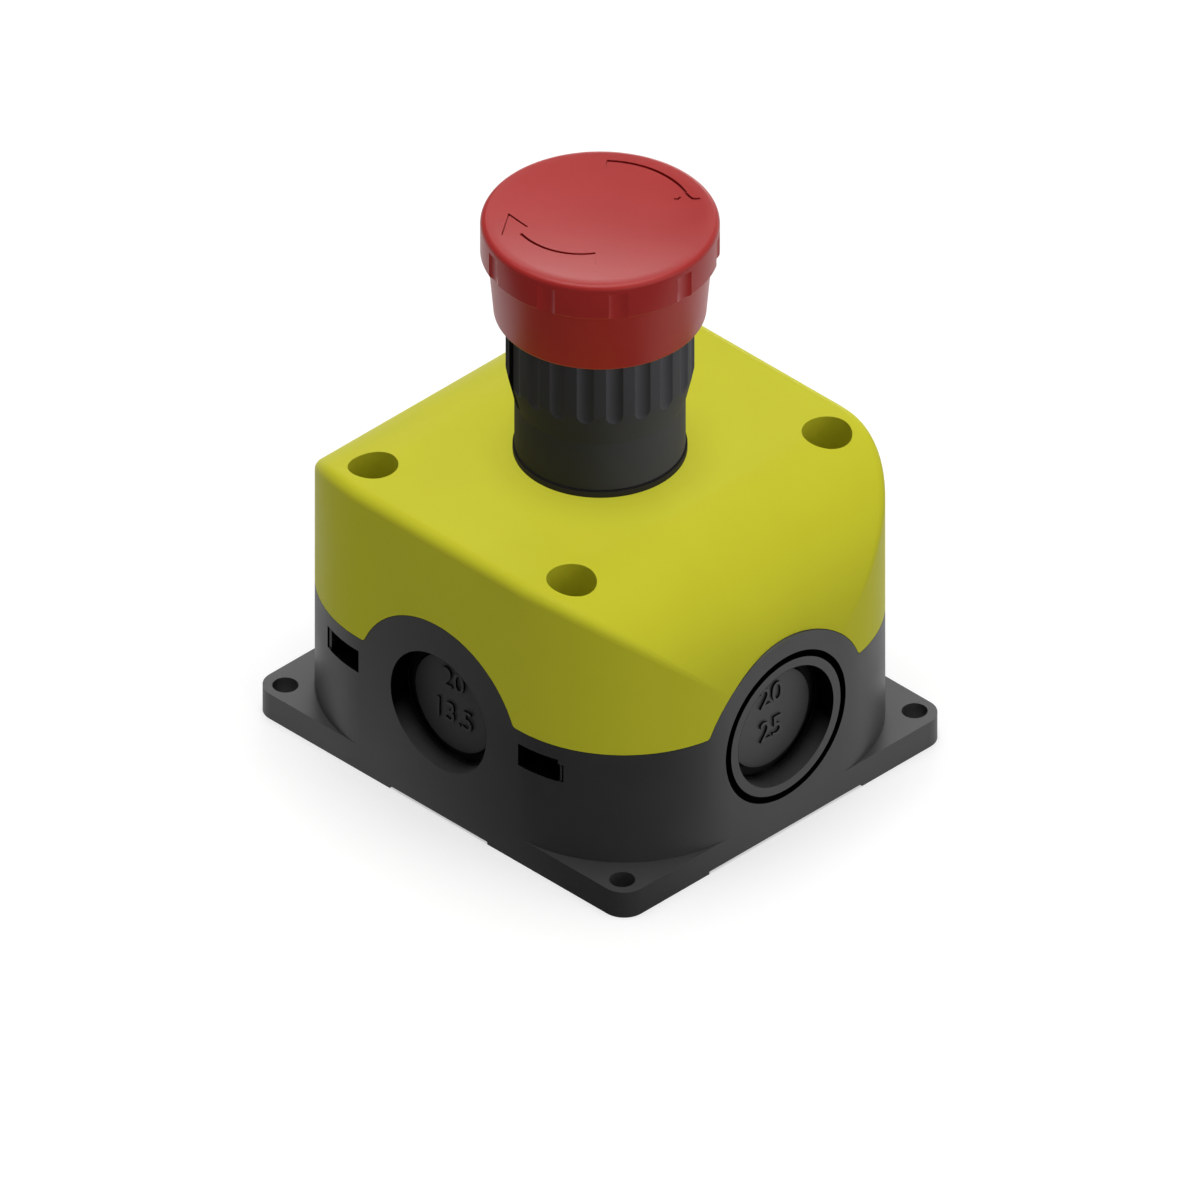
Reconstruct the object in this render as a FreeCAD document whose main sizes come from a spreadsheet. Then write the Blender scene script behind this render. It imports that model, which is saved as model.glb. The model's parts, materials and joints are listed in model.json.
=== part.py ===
import FreeCAD, Part
import Sketcher
import math
import os
import re

# Emergency stop switch in its own surface-mounted enclosure.
# The origin is the middle of the footprint, on the surface that it stands on.
# Z runs up through the push button, X along the longer side. Millimetres throughout.

Vector = FreeCAD.Vector
Rotation = FreeCAD.Rotation

# Driving dimensions, all in millimetres unless the name says count or angle.
SIZES = {
    # Footprint and ears
    "plan_length": 87.6,
    "plan_width": 76.2,
    "body_corner": 25.0,
    "ear_corner": 4.0,
    "ear_height": 5.1,
    "ear_hole": 4.4,
    "ear_inset_x": 4.1,
    "ear_inset_y": 3.65,
    "relief_depth": 0.5,
    "relief_length": 23.0,
    "relief_width": 36.0,
    # Base housing
    "base_wall": 3.0,
    "base_floor": 3.0,
    "split_height": 26.9,
    "arch_height": 19.75,
    "arch_radius": 18.95,
    "notch_rounding": 0.8,
    "seam_gap": 0.1,
    "seal_width": 1.2,
    "seal_inset": 0.9,
    "seal_depth": 1.0,
    # Knock-out cable entries
    "entry_height": 21.15,
    "pocket_diameter": 22.4,
    "pocket_depth": 3.7,
    "disc_diameter": 18.2,
    "tear_diameter": 22.0,
    "tear_depth": 1.0,
    "tear_skin": 0.6,
    "entry_boss": 29.0,
    "ring_inner": 25.8,
    "ring_outer": 28.2,
    "ring_depth": 1.2,
    # Long slots beside the knock-outs of the long sides
    "slot_start": 18.85,
    "slot_length": 8.95,
    "slot_bottom": 19.9,
    "slot_height": 4.3,
    "slot_depth": 4.0,
    "slot_wall": 1.4,
    "slot_rib": 0.5,
    "slot_rib_inset": 0.4,
    "slot_rib_sink": 1.75,
    "slot_step": 0.8,
    "slot_step_length": 2.2,
    # Cover
    "cover_top": 56.2,
    "cover_wall": 2.6,
    "cover_crown": 3.0,
    "shoulder_radius": 22.5,
    "edge_rounding": 2.0,
    "fixing_inset_x": 20.4,
    "fixing_inset_y": 8.0,
    "well_diameter": 8.5,
    "well_wall": 1.5,
    "well_floor": 4.1,
    "seat_diameter": 7.6,
    "seat_height": 3.2,
    # Cover screws and their threaded inserts
    "screw_thread": 4.0,
    "screw_hole": 4.5,
    "screw_head": 7.0,
    "screw_head_height": 2.6,
    "screw_length": 15.0,
    "insert_diameter": 5.8,
    "insert_length": 9.0,
    "fixing_boss": 9.2,
    "thread_gap": 0.05,
    "recess_width": 1.1,
    "recess_depth": 1.3,
    "recess_margin": 1.1,
    # Small screws of the contact carrier, the pusher and the terminals
    "small_thread": 3.0,
    "small_head": 5.4,
    "small_head_height": 1.7,
    "small_length": 6.3,
    # Neck of the actuator
    "panel_hole": 22.3,
    "key_width": 3.2,
    "key_reach": 12.1,
    "fit_gap": 0.15,
    "gasket_diameter": 29.2,
    "gasket_thickness": 1.3,
    "neck_diameter": 28.6,
    "neck_height": 9.4,
    "flare_diameter": 31.5,
    "flare_height": 6.3,
    "flute_count": 20,
    "flute_cutter": 6.4,
    "flute_depth": 0.55,
    "notch_width": 4.0,
    "notch_depth": 1.2,
    "notch_angle": -120.0,
    "shank_diameter": 21.8,
    "shank_length": 15.5,
    "chamber_diameter": 23.2,
    "collar_floor": 4.5,
    "seal_diameter": 13.4,
    "seal_height": 2.0,
    "seal_lip": 0.6,
    "washer_diameter": 28.0,
    "washer_thickness": 1.0,
    "nut_diameter": 29.0,
    "nut_height": 4.6,
    "nut_chamfer": 0.5,
    "nut_notches": 6,
    "nut_notch": 3.0,
    # Stem, its springs and its latch
    "stem_diameter": 10.0,
    "running_gap": 0.08,
    "stem_key": 2.0,
    "stem_key_reach": 6.2,
    "stem_key_length": 5.0,
    "stem_key_drop": 2.0,
    "press_travel": 5.0,
    "stop_gap": 0.1,
    "plate_diameter": 21.6,
    "plate_thickness": 1.6,
    "spring_diameter": 19.0,
    "spring_wire": 1.6,
    "spring_turns": 5,
    "latch_height": 3.0,
    "latch_pin": 3.0,
    "latch_stroke": 1.0,
    "latch_gap": 0.1,
    "ring_wire": 0.9,
    "ring_opening": 4.0,
    "pusher_thickness": 3.0,
    "pusher_hub": 14.0,
    "pusher_width": 7.0,
    # Push cap and its hub
    "cap_lift": 26.9,
    "cap_height": 18.6,
    "cap_bore": 32.4,
    "skirt_bottom": 35.5,
    "skirt_top": 37.6,
    "skirt_height": 12.0,
    "skirt_rounding": 0.6,
    "band_diameter": 40.0,
    "band_rounding": 0.3,
    "rim_rounding": 1.8,
    "dish_diameter": 36.0,
    "dish_depth": 1.0,
    "cap_crown": 4.0,
    "grip_count": 10,
    "grip_cutter": 6.8,
    "grip_depth": 0.5,
    "hub_plate": 3.0,
    "hub_length": 10.2,
    "hub_diameter": 17.2,
    "hub_recess": 14.8,
    "hub_recess_depth": 3.8,
    "head_gap": 0.5,
    "turn_gap": 0.2,
    "clip_diameter": 13.2,
    "clip_thickness": 1.0,
    "clip_groove": 8.2,
    "clip_level": 3.2,
    "clip_mouth": 4.1,
    "twist_spring_diameter": 13.0,
    "twist_spring_wire": 0.9,
    "twist_spring_turns": 2.5,
    # Contact blocks on their carrier
    "carrier_stand": 3.0,
    "carrier_thickness": 2.5,
    "carrier_length": 37.0,
    "carrier_width": 28.0,
    "carrier_rib": 1.2,
    "carrier_rib_height": 5.0,
    "carrier_screw_y": 9.0,
    "block_offset": 10.5,
    "block_width": 10.0,
    "block_wall": 1.2,
    "block_floor": 1.5,
    "block_roof": 1.6,
    "tower_length": 22.0,
    "block_length": 40.0,
    "block_shoulder": 15.5,
    "block_gap": 0.4,
    "contact_level": 12.2,
    "contact_width": 4.4,
    "contact_thickness": 0.8,
    "contact_inner": 5.0,
    "terminal_y": 15.6,
    "terminal_well": 6.6,
    "wire_height": 5.6,
    "clamp_length": 5.6,
    "clamp_thickness": 1.2,
    "clamp_drop": 1.1,
    "tip_diameter": 3.0,
    "tip_height": 0.7,
    "bridge_length": 17.0,
    "bridge_width": 4.0,
    "bridge_thickness": 1.0,
    "touch_gap": 0.1,
    "plunger_width": 4.4,
    "nib_diameter": 2.4,
    "nib_length": 1.5,
    "contact_spring": 4.2,
    "contact_spring_wire": 0.5,
    "contact_spring_turns": 4,
}

# How far a cutting solid runs past the face that it opens, and the step that counts as level
PAST = 1
LEVEL = 0.001
# Half the span over which a sketch is drawn before its dimensions move it
ROUGH = 50

doc = FreeCAD.newDocument("emergency_stop_switch")
sheet = doc.addObject("Spreadsheet::Sheet", "sizes")
for row, (alias, value) in enumerate(SIZES.items(), start=1):
    sheet.set(f"A{row}", alias)
    sheet.set(f"B{row}", str(value))
    sheet.setAlias(f"B{row}", alias)
doc.recompute()

PIECES = []


# Formulas and bindings
def linked(formula):
    """The formula with each size's name pointing at its cell in the sheet."""
    def cell(word):
        return f"sizes.{word.group()}" if word.group() in SIZES else word.group()
    return re.sub(r"[a-z][a-z_]*", cell, formula)


def bind(thing, **formulas):
    for name, formula in formulas.items():
        thing.setExpression(name, linked(formula))


def place(thing, x, y, z):
    for axis, formula in (("x", x), ("y", y), ("z", z)):
        thing.setExpression(f"Placement.Base.{axis}", linked(formula))


def size(alias):
    return float(sheet.get(alias))


def piece(thing, label):
    """Marks a finished solid as a piece of the object under its own name."""
    thing.Label = label
    PIECES.append(thing)
    return thing


# Primitives and booleans
LEANING = {
    "X": Rotation(Vector(0, 1, 0), 90),
    "Y": Rotation(Vector(1, 0, 0), -90),
    "Z": Rotation(),
}


def box(name, x, y, z):
    """A box between the low and high formula of each axis."""
    solid = doc.addObject("Part::Box", name)
    bind(
        solid,
        Length=f"({x[1]}) - ({x[0]})",
        Width=f"({y[1]}) - ({y[0]})",
        Height=f"({z[1]}) - ({z[0]})",
    )
    place(solid, x[0], y[0], z[0])
    return solid


def rod(name, diameter, low, high, at=("0", "0"), axis="Z"):
    """A round bar along one axis, at the given place on the other two."""
    solid = doc.addObject("Part::Cylinder", name)
    bind(solid, Radius=f"({diameter}) / 2", Height=f"({high}) - ({low})")
    solid.Placement = FreeCAD.Placement(Vector(), LEANING[axis])
    spots = {"X": (low, at[0], at[1]), "Y": (at[0], low, at[1]), "Z": (at[0], at[1], low)}
    place(solid, *spots[axis])
    return solid


def joined(name, solids):
    union = doc.addObject("Part::MultiFuse", name)
    union.Shapes = list(solids)
    return union


def cut(name, base, *tools):
    result = doc.addObject("Part::Cut", name)
    result.Base = base
    result.Tool = tools[0] if len(tools) == 1 else joined(f"{name}_tools", tools)
    return result


def common(name, first, second):
    result = doc.addObject("Part::Common", name)
    result.Base = first
    result.Tool = second
    return result


def tube(name, outer, inner, low, high, at=("0", "0"), axis="Z"):
    wall = rod(f"{name}_outer", outer, low, high, at, axis)
    bore = rod(f"{name}_inner", inner, f"({low}) - {PAST}", f"({high}) + {PAST}", at, axis)
    return cut(name, wall, bore)


# Bodies drawn as sketches
def new_body(name, plane):
    """A body with an empty sketch on one of its own origin planes."""
    body = doc.addObject("PartDesign::Body", name)
    sketch = body.newObject("Sketcher::SketchObject", f"{name}_sketch")
    support = next(item for item in body.Origin.OriginFeatures if item.Role == plane)
    sketch.AttachmentSupport = (support, [""])
    sketch.MapMode = "FlatFace"
    return body, sketch


def draw_polygon(sketch, corners):
    """Draws a rough closed polygon and dimensions each corner from the origin."""
    count = len(corners)
    angles = [2 * math.pi * index / count for index in range(count)]
    rough = [Vector(ROUGH * math.cos(angle), ROUGH * math.sin(angle), 0) for angle in angles]
    for index in range(count):
        sketch.addGeometry(Part.LineSegment(rough[index], rough[(index + 1) % count]), False)
    for index in range(count):
        sketch.addConstraint(Sketcher.Constraint("Coincident", index, 2, (index + 1) % count, 1))
    for index, formulas in enumerate(corners):
        for kind, formula, start in zip(("DistanceX", "DistanceY"), formulas, rough[index]):
            number = sketch.addConstraint(Sketcher.Constraint(kind, -1, 1, index, 1, start))
            sketch.setExpression(f"Constraints[{number}]", linked(formula))


def turned(name, profile):
    """A body turned about the Z axis from its (radius, height) corners."""
    body, sketch = new_body(name, "XZ_Plane")
    draw_polygon(sketch, profile)
    feature = body.newObject("PartDesign::Revolution", f"{name}_turn")
    feature.Profile = sketch
    feature.ReferenceAxis = (sketch, ["V_Axis"])
    feature.Angle = 360
    body.Tip = feature
    doc.recompute()
    return body


def round_edges(body, name, radius, test):
    """Rounds the edges of the body's last feature that pass the test."""
    base = body.Tip
    edges = [f"Edge{index}" for index, edge in enumerate(base.Shape.Edges, start=1) if test(edge)]
    feature = body.newObject("PartDesign::Fillet", name)
    feature.Base = (base, edges)
    bind(feature, Radius=radius)
    body.Tip = feature
    doc.recompute()


def runs_along(edge, direction):
    if edge.Curve.TypeId != "Part::GeomLine":
        return False
    return abs(edge.tangentAt(edge.FirstParameter).dot(direction)) > 1 - LEVEL


def slab(name, length, width, corner, low, high):
    """A flat block with rounded vertical corners, centred on the Z axis."""
    body, sketch = new_body(name, "XY_Plane")
    across = f"({length}) / 2"
    along = f"({width}) / 2"
    draw_polygon(
        sketch,
        [
            (f"-{across}", f"-{along}"),
            (across, f"-{along}"),
            (across, along),
            (f"-{across}", along),
        ],
    )
    pad = body.newObject("PartDesign::Pad", f"{name}_pad")
    pad.Profile = sketch
    bind(pad, Length=f"({high}) - ({low})")
    body.Tip = pad
    place(body, "0", "0", low)
    doc.recompute()
    round_edges(body, f"{name}_corners", corner, lambda edge: runs_along(edge, Vector(0, 0, 1)))
    return body


def polar_cuts(body, name, cutter, reach, low, high, count):
    """Cuts equal round flutes all round the outside of a turned body."""
    sketch = body.newObject("Sketcher::SketchObject", f"{name}_sketch")
    plane = next(item for item in body.Origin.OriginFeatures if item.Role == "XY_Plane")
    sketch.AttachmentSupport = (plane, [""])
    sketch.MapMode = "FlatFace"
    bind(sketch, **{"AttachmentOffset.Base.z": low})
    sketch.addGeometry(Part.Circle(Vector(ROUGH, 0, 0), Vector(0, 0, 1), 1), False)
    radius = sketch.addConstraint(Sketcher.Constraint("Radius", 0, 3))
    sketch.setExpression(f"Constraints[{radius}]", linked(f"({cutter}) / 2"))
    across = sketch.addConstraint(Sketcher.Constraint("DistanceX", -1, 1, 0, 3, ROUGH))
    sketch.setExpression(f"Constraints[{across}]", linked(reach))
    sketch.addConstraint(Sketcher.Constraint("PointOnObject", 0, 3, -1))
    pocket = body.newObject("PartDesign::Pocket", f"{name}_pocket")
    pocket.Profile = sketch
    pocket.Reversed = True
    bind(pocket, Length=f"({high}) - ({low})")
    body.Tip = pocket
    doc.recompute()
    pattern = body.newObject("PartDesign::PolarPattern", f"{name}_pattern")
    pattern.Originals = [pocket]
    axis = next(item for item in body.Origin.OriginFeatures if item.Role == "Z_Axis")
    pattern.Axis = (axis, [""])
    pattern.Angle = 360
    bind(pattern, Occurrences=count)
    body.Tip = pattern
    doc.recompute()


def coil(name, diameter, wire, low, high, turns, at=("0", "0")):
    """A helical spring of six-sided wire, its ends level with low and high."""
    path = doc.addObject("Part::Helix", f"{name}_path")
    rise = f"(({high}) - ({low}) - ({wire}))"
    bind(path, Pitch=f"{rise} / ({turns})", Height=rise, Radius=f"({diameter}) / 2")
    path.SegmentLength = 1
    section = doc.addObject("Part::RegularPolygon", f"{name}_section")
    section.Polygon = 6
    bind(section, Circumradius=f"({wire}) / 2")
    section.Placement = FreeCAD.Placement(Vector(), Rotation(Vector(1, 0, 0), 90))
    place(section, f"({diameter}) / 2", "0", "0")
    sweep = doc.addObject("Part::Sweep", name)
    sweep.Sections = [section]
    sweep.Spine = (path, [])
    sweep.Solid = True
    sweep.Frenet = True
    place(sweep, at[0], at[1], f"({low}) + ({wire}) / 2")
    return sweep


def screw(name, thread, head, head_height, length, seat, at):
    """A pan-head screw with a cross recess; seat is the height under its head."""
    top = f"({seat}) + ({head_height})"
    shank = rod(f"{name}_shank", thread, f"({seat}) - ({length})", seat, at)
    cap = rod(f"{name}_head", head, seat, top, at)
    reach = f"(({head}) / 2 - recess_margin)"
    half = "(recess_width / 2)"
    arms = [
        box(
            f"{name}_arm_{across}",
            (f"({at[0]}) - {wide}", f"({at[0]}) + {wide}"),
            (f"({at[1]}) - {deep}", f"({at[1]}) + {deep}"),
            (f"{top} - recess_depth", f"{top} + {PAST}"),
        )
        for across, wide, deep in (("x", reach, half), ("y", half, reach))
    ]
    return cut(name, joined(f"{name}_blank", [shank, cap]), *arms)


# Heights that follow from the driving dimensions
CARRIER_SEAT = "(base_floor + carrier_stand)"
CARRIER_TOP = f"({CARRIER_SEAT} + carrier_thickness)"
SEAT = "(cover_top + gasket_thickness)"
UNDERSIDE = "(cover_top - cover_crown)"
SHANK_BOTTOM = f"({SEAT} - shank_length)"
PUSHER_TOP = f"({SHANK_BOTTOM} - stop_gap)"
PUSHER_BOTTOM = f"({PUSHER_TOP} - pusher_thickness)"
BLOCK_TOP = f"({PUSHER_BOTTOM} - press_travel - block_gap)"
LATCH_LEVEL = f"({SHANK_BOTTOM} + latch_height)"
CHAMBER_FLOOR = f"({SEAT} + collar_floor)"
CAP_BOTTOM = f"({SEAT} + cap_lift)"
BAND_BOTTOM = f"({CAP_BOTTOM} + skirt_height)"
CAP_TOP = f"({CAP_BOTTOM} + cap_height)"
CEILING = f"({CAP_TOP} - cap_crown)"
HUB_PLATE_BOTTOM = f"({CEILING} - hub_plate)"
HUB_BOTTOM = f"({HUB_PLATE_BOTTOM} - hub_length)"
COLLAR_TOP = f"({HUB_PLATE_BOTTOM} - press_travel - head_gap)"
PLATE_TOP = f"({HUB_BOTTOM} - turn_gap)"
PLATE_BOTTOM = f"({PLATE_TOP} - plate_thickness)"
CLIP_BOTTOM = f"({CEILING} - clip_level)"
CONTACT_PLANE = f"({CARRIER_TOP} + contact_level)"
SHOULDER_TOP = f"({CARRIER_TOP} + block_shoulder)"
ARCH_TOP = "(arch_height + arch_radius)"
KEY_BOTTOM = f"({CHAMBER_FLOOR} - seal_height - stem_key_drop - stem_key_length)"
LATCH_LOW = f"({LATCH_LEVEL} - latch_pin / 2)"
LATCH_HIGH = f"({LATCH_LEVEL} + latch_pin / 2)"

# Head and length of the small screws, as screw() takes them
SMALL_HEAD = ("small_thread", "small_head", "small_head_height")
SMALL_SCREW = SMALL_HEAD + ("small_length",)
# Half the length of a bar that runs right through the object, and the signs of its four corners
BEYOND = "plan_length"
CORNERS = ((1, 1), (-1, 1), (-1, -1), (1, -1))


def fixing_spot(east, north):
    """Where the cover screw of one corner stands."""
    return (f"{east} * (plan_length / 2 - fixing_inset_x)", f"{north} * (plan_width / 2 - fixing_inset_y)")


# Seam between base and cover
def seam_shape(name, lift, rounding=False):
    """All that lies below the seam: a slab and, on each side, the arch over the cable entry."""
    flat = f"split_height + ({lift})"
    prisms = []
    for axis in ("X", "Y"):
        through = (f"-{BEYOND}", BEYOND)
        low = box(f"{name}_{axis}_slab", through, through, (f"-{PAST}", flat))
        arch = rod(
            f"{name}_{axis}_arch",
            f"2 * (arch_radius + ({lift}))",
            *through,
            ("0", "arch_height"),
            axis,
        )
        prism = joined(f"{name}_{axis}", [low, arch])
        if rounding:
            doc.recompute()
            prism = round_notches(prism, f"{name}_{axis}_notches", axis)
        prisms.append(prism)
    return joined(name, prisms)


def round_notches(prism, name, axis):
    """Rounds the two inner corners where an arch springs from the flat seam."""
    direction = Vector(1, 0, 0) if axis == "X" else Vector(0, 1, 0)
    reach = size("arch_radius")
    rounded = doc.addObject("Part::Fillet", name)
    rounded.Base = prism
    radius = size("notch_rounding")
    edges = []
    for index, edge in enumerate(prism.Shape.Edges, start=1):
        middle = edge.BoundBox.Center
        aside = abs(middle.y) if axis == "X" else abs(middle.x)
        if runs_along(edge, direction) and 0 < aside < reach and middle.z > 0:
            edges.append((index, radius, radius))
    rounded.Edges = edges
    return rounded


def body_block(name, inset, low, high):
    """The plan of the body with its large corners, drawn in by the inset."""
    return slab(
        name,
        f"plan_length - 2 * ({inset})",
        f"plan_width - 2 * ({inset})",
        f"body_corner - ({inset})",
        low,
        high,
    )


def seam_gasket():
    """Rubber cord that follows the seam all round, in a groove of the base."""
    high = f"{ARCH_TOP} + {PAST}"
    ring = cut(
        "gasket_ring",
        body_block("gasket_outside", "seal_inset", "base_floor", high),
        body_block("gasket_inside", "seal_inset + seal_width", f"base_floor - {PAST}", f"{high} + {PAST}"),
    )
    band = cut(
        "gasket_band",
        seam_shape("gasket_top", "seam_gap"),
        seam_shape("gasket_bottom", "-seal_depth"),
    )
    return piece(common("seam_gasket", ring, band), "seam_gasket")


# Base housing
ENTRIES = {
    "front": ("Y", -1, "plan_width / 2"),
    "back": ("Y", 1, "plan_width / 2"),
    "left": ("X", -1, "plan_length / 2"),
    "right": ("X", 1, "plan_length / 2"),
}


def inward(side, near, far):
    """The low and high end of a stretch that runs inwards from a side's outer face."""
    _, sign, face = ENTRIES[side]
    if sign < 0:
        return f"-({face}) + ({near})", f"-({face}) + ({far})"
    return f"({face}) - ({far})", f"({face}) - ({near})"


def entry_rod(side, name, diameter, near, far):
    low, high = inward(side, near, far)
    return rod(f"{side}_{name}", diameter, low, high, ("0", "entry_height"), ENTRIES[side][0])


def entry_cuts(side):
    """Pocket, tear groove and, on the short sides, the ring for the larger entry."""
    deep = "pocket_depth + tear_depth"
    groove = cut(
        f"{side}_tear",
        entry_rod(side, "tear_outer", "tear_diameter", f"pocket_depth - {PAST}", deep),
        entry_rod(side, "tear_inner", "disc_diameter", "0", f"{deep} + {PAST}"),
    )
    cuts = [entry_rod(side, "pocket", "pocket_diameter", f"-{PAST}", "pocket_depth"), groove]
    if ENTRIES[side][0] == "X":
        ring = cut(
            f"{side}_ring",
            entry_rod(side, "ring_outside", "ring_outer", f"-{PAST}", "ring_depth"),
            entry_rod(side, "ring_inside", "ring_inner", f"-2 * {PAST}", f"ring_depth + {PAST}"),
        )
        cuts.append(ring)
    return cuts


def slot_parts():
    """Blind slots in the long sides, each with a backing and a thin rib at its outer end."""
    backings = []
    cuts = []
    low = "slot_bottom"
    high = "slot_bottom + slot_height"
    far = "(slot_start + slot_length)"
    stretches = {
        "hollow": ("slot_start", far),
        "backing": ("(slot_start - slot_wall)", f"({far} + slot_wall)"),
        "rib": (f"({far} - slot_rib_inset - slot_rib)", f"({far} - slot_rib_inset)"),
        "step": (f"({far} - slot_step_length)", f"({far} + {PAST})"),
    }
    for side in ("front", "back"):
        for hand, sign in (("left", -1), ("right", 1)):
            name = f"{side}_{hand}_slot"
            across = {part: [f"{sign} * {end}" for end in ends[::sign]] for part, ends in stretches.items()}
            backings.append(
                box(
                    f"{name}_backing",
                    across["backing"],
                    inward(side, "0", "slot_depth + slot_wall"),
                    (f"{low} - slot_wall", f"{high} + slot_wall"),
                )
            )
            hollow = box(
                f"{name}_hollow",
                across["hollow"],
                inward(side, f"-{PAST}", "slot_depth"),
                (low, high),
            )
            rib = box(
                f"{name}_rib",
                across["rib"],
                inward(side, "slot_rib_sink", f"slot_depth + {PAST}"),
                (f"{low} - {PAST}", f"{high} + {PAST}"),
            )
            kept = [rib]
            if (side == "front") == (hand == "right"):
                step = box(
                    f"{name}_step",
                    across["step"],
                    inward(side, f"-2 * {PAST}", f"slot_depth + {PAST}"),
                    (f"{high} - slot_step", f"{high} + {PAST}"),
                )
                kept.append(step)
            cuts.append(cut(name, hollow, *kept))
    within = body_block("slot_limit", "base_wall / 2", "base_floor", "split_height")
    return common("slot_backings", joined("slot_blocks", backings), within), cuts


def base_housing(gasket):
    """Open box with four arched sides, mounting ears, bosses and knock-out cable entries."""
    plan = body_block("base_plan", "0", "0", f"{ARCH_TOP} + {PAST}")
    flange = slab("base_flange", "plan_length", "plan_width", "ear_corner", "0", "ear_height")
    walls = common("base_walls", plan, seam_shape("base_seam", "0", rounding=True))
    hollow = body_block("base_hollow", "base_wall", "base_floor", f"{ARCH_TOP} + 2 * {PAST}")
    shell = cut("base_shell", joined("base_block", [flange, walls]), hollow)
    thickness = "pocket_depth + tear_depth + tear_skin"
    inside = [entry_rod(side, "boss", "entry_boss", "base_wall / 2", thickness) for side in ENTRIES]
    backings, holes = slot_parts()
    inside.append(backings)
    for side in ENTRIES:
        holes += entry_cuts(side)
    above = f"split_height + {PAST}"
    for index, (east, north) in enumerate(CORNERS):
        ear = (f"{east} * (plan_length / 2 - ear_inset_x)", f"{north} * (plan_width / 2 - ear_inset_y)")
        holes.append(rod(f"ear_hole_{index}", "ear_hole", f"-{PAST}", f"ear_height + {PAST}", ear))
        spot = fixing_spot(east, north)
        inside.append(rod(f"fixing_boss_{index}", "fixing_boss", "base_floor / 2", "split_height", spot))
        screw_end = "split_height + well_floor - screw_length - seal_depth"
        holes.append(rod(f"fixing_hole_{index}", "screw_hole", screw_end, above, spot))
        insert_end = "split_height - insert_length"
        holes.append(rod(f"insert_hole_{index}", "insert_diameter", insert_end, above, spot))
    for name, north in (("front", -1), ("back", 1)):
        spot = ("0", f"{north} * carrier_screw_y")
        girth = "small_thread + 2 * base_wall"
        inside.append(rod(f"carrier_boss_{name}", girth, "base_floor / 2", CARRIER_SEAT, spot))
        screw_end = f"{CARRIER_TOP} - small_length"
        holes.append(rod(f"carrier_hole_{name}", "small_thread", screw_end, f"{CARRIER_SEAT} + {PAST}", spot))
    reliefs = {
        "across": ("relief_length", f"plan_width + 2 * {PAST}"),
        "along": (f"plan_length + 2 * {PAST}", "relief_width"),
    }
    for name, (length, width) in reliefs.items():
        holes.append(
            box(
                f"relief_{name}",
                (f"-({length}) / 2", f"({length}) / 2"),
                (f"-({width}) / 2", f"({width}) / 2"),
                (f"-{PAST}", "relief_depth"),
            )
        )
    solid = joined("base_solid", [shell] + inside)
    return piece(cut("base_housing", solid, joined("base_holes", holes + [gasket])), "base_housing")


# Cover
def dome(name, inset, crown, low):
    """The body plan under a vault: flat on top, with a large quarter round along both short sides."""
    top = f"cover_top - ({crown})"
    plan = body_block(f"{name}_plan", inset, low, f"{top} + {PAST}")
    body, sketch = new_body(f"{name}_vault", "XZ_Plane")
    across = f"(plan_length / 2 - ({inset}))"
    under = f"({low}) - {PAST}"
    draw_polygon(sketch, [(f"-{across}", under), (across, under), (across, top), (f"-{across}", top)])
    pad = body.newObject("PartDesign::Pad", f"{name}_pad")
    pad.Profile = sketch
    pad.Midplane = True
    bind(pad, Length="2 * plan_width")
    body.Tip = pad
    doc.recompute()
    high = pad.Shape.BoundBox.ZMax
    round_edges(
        body,
        f"{name}_shoulders",
        f"shoulder_radius - ({inset})",
        lambda edge: runs_along(edge, Vector(0, 1, 0)) and abs(edge.BoundBox.ZMax - high) < LEVEL,
    )
    return common(name, plan, body)


def rounded_dome(name, low):
    """The outer vault with its upper edge rounded all the way until it runs out at the sides."""
    base = dome(f"{name}_sharp", "0", "0", low)
    doc.recompute()
    radius = size("edge_rounding")
    spring = size("cover_top") - size("shoulder_radius")
    rounded = doc.addObject("Part::Fillet", name)
    rounded.Base = base
    rounded.Edges = [
        (index, radius, radius)
        for index, edge in enumerate(base.Shape.Edges, start=1)
        if edge.BoundBox.ZMin > spring - LEVEL
        and not runs_along(edge, Vector(0, 1, 0))
        and not runs_along(edge, Vector(0, 0, 1))
    ]
    return rounded


def cover():
    """Vaulted shell that follows the arches of the base, with four screw wells."""
    outside = rounded_dome("cover_outside", "split_height")
    inside = dome("cover_inside", "cover_wall", "cover_crown", f"split_height - {PAST}")
    shell = cut("cover_shell", outside, inside)
    above = f"cover_top + {PAST}"
    columns = []
    holes = [seam_shape("cover_seam", "seam_gap", rounding=True)]
    for index, (east, north) in enumerate(CORNERS):
        spot = fixing_spot(east, north)
        girth = "well_diameter + 2 * well_wall"
        columns.append(rod(f"well_column_{index}", girth, "split_height", f"{UNDERSIDE} + {PAST}", spot))
        seat = "split_height + well_floor"
        holes.append(rod(f"well_seat_{index}", "seat_diameter", seat, above, spot))
        holes.append(rod(f"well_{index}", "well_diameter", f"{seat} + seat_height", above, spot))
        holes.append(rod(f"well_hole_{index}", "screw_hole", f"split_height - {PAST}", above, spot))
    columns = common("cover_columns", joined("well_columns", columns), outside)
    holes.append(rod("panel_opening", "panel_hole", f"{UNDERSIDE} - {PAST}", above))
    key = ("-key_width / 2", "key_width / 2")
    holes.append(box("panel_key", key, ("0", "key_reach"), (f"{UNDERSIDE} - {PAST}", above)))
    solid = joined("cover_solid", [shell, columns])
    return piece(cut("cover", solid, joined("cover_holes", holes)), "cover")


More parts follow.
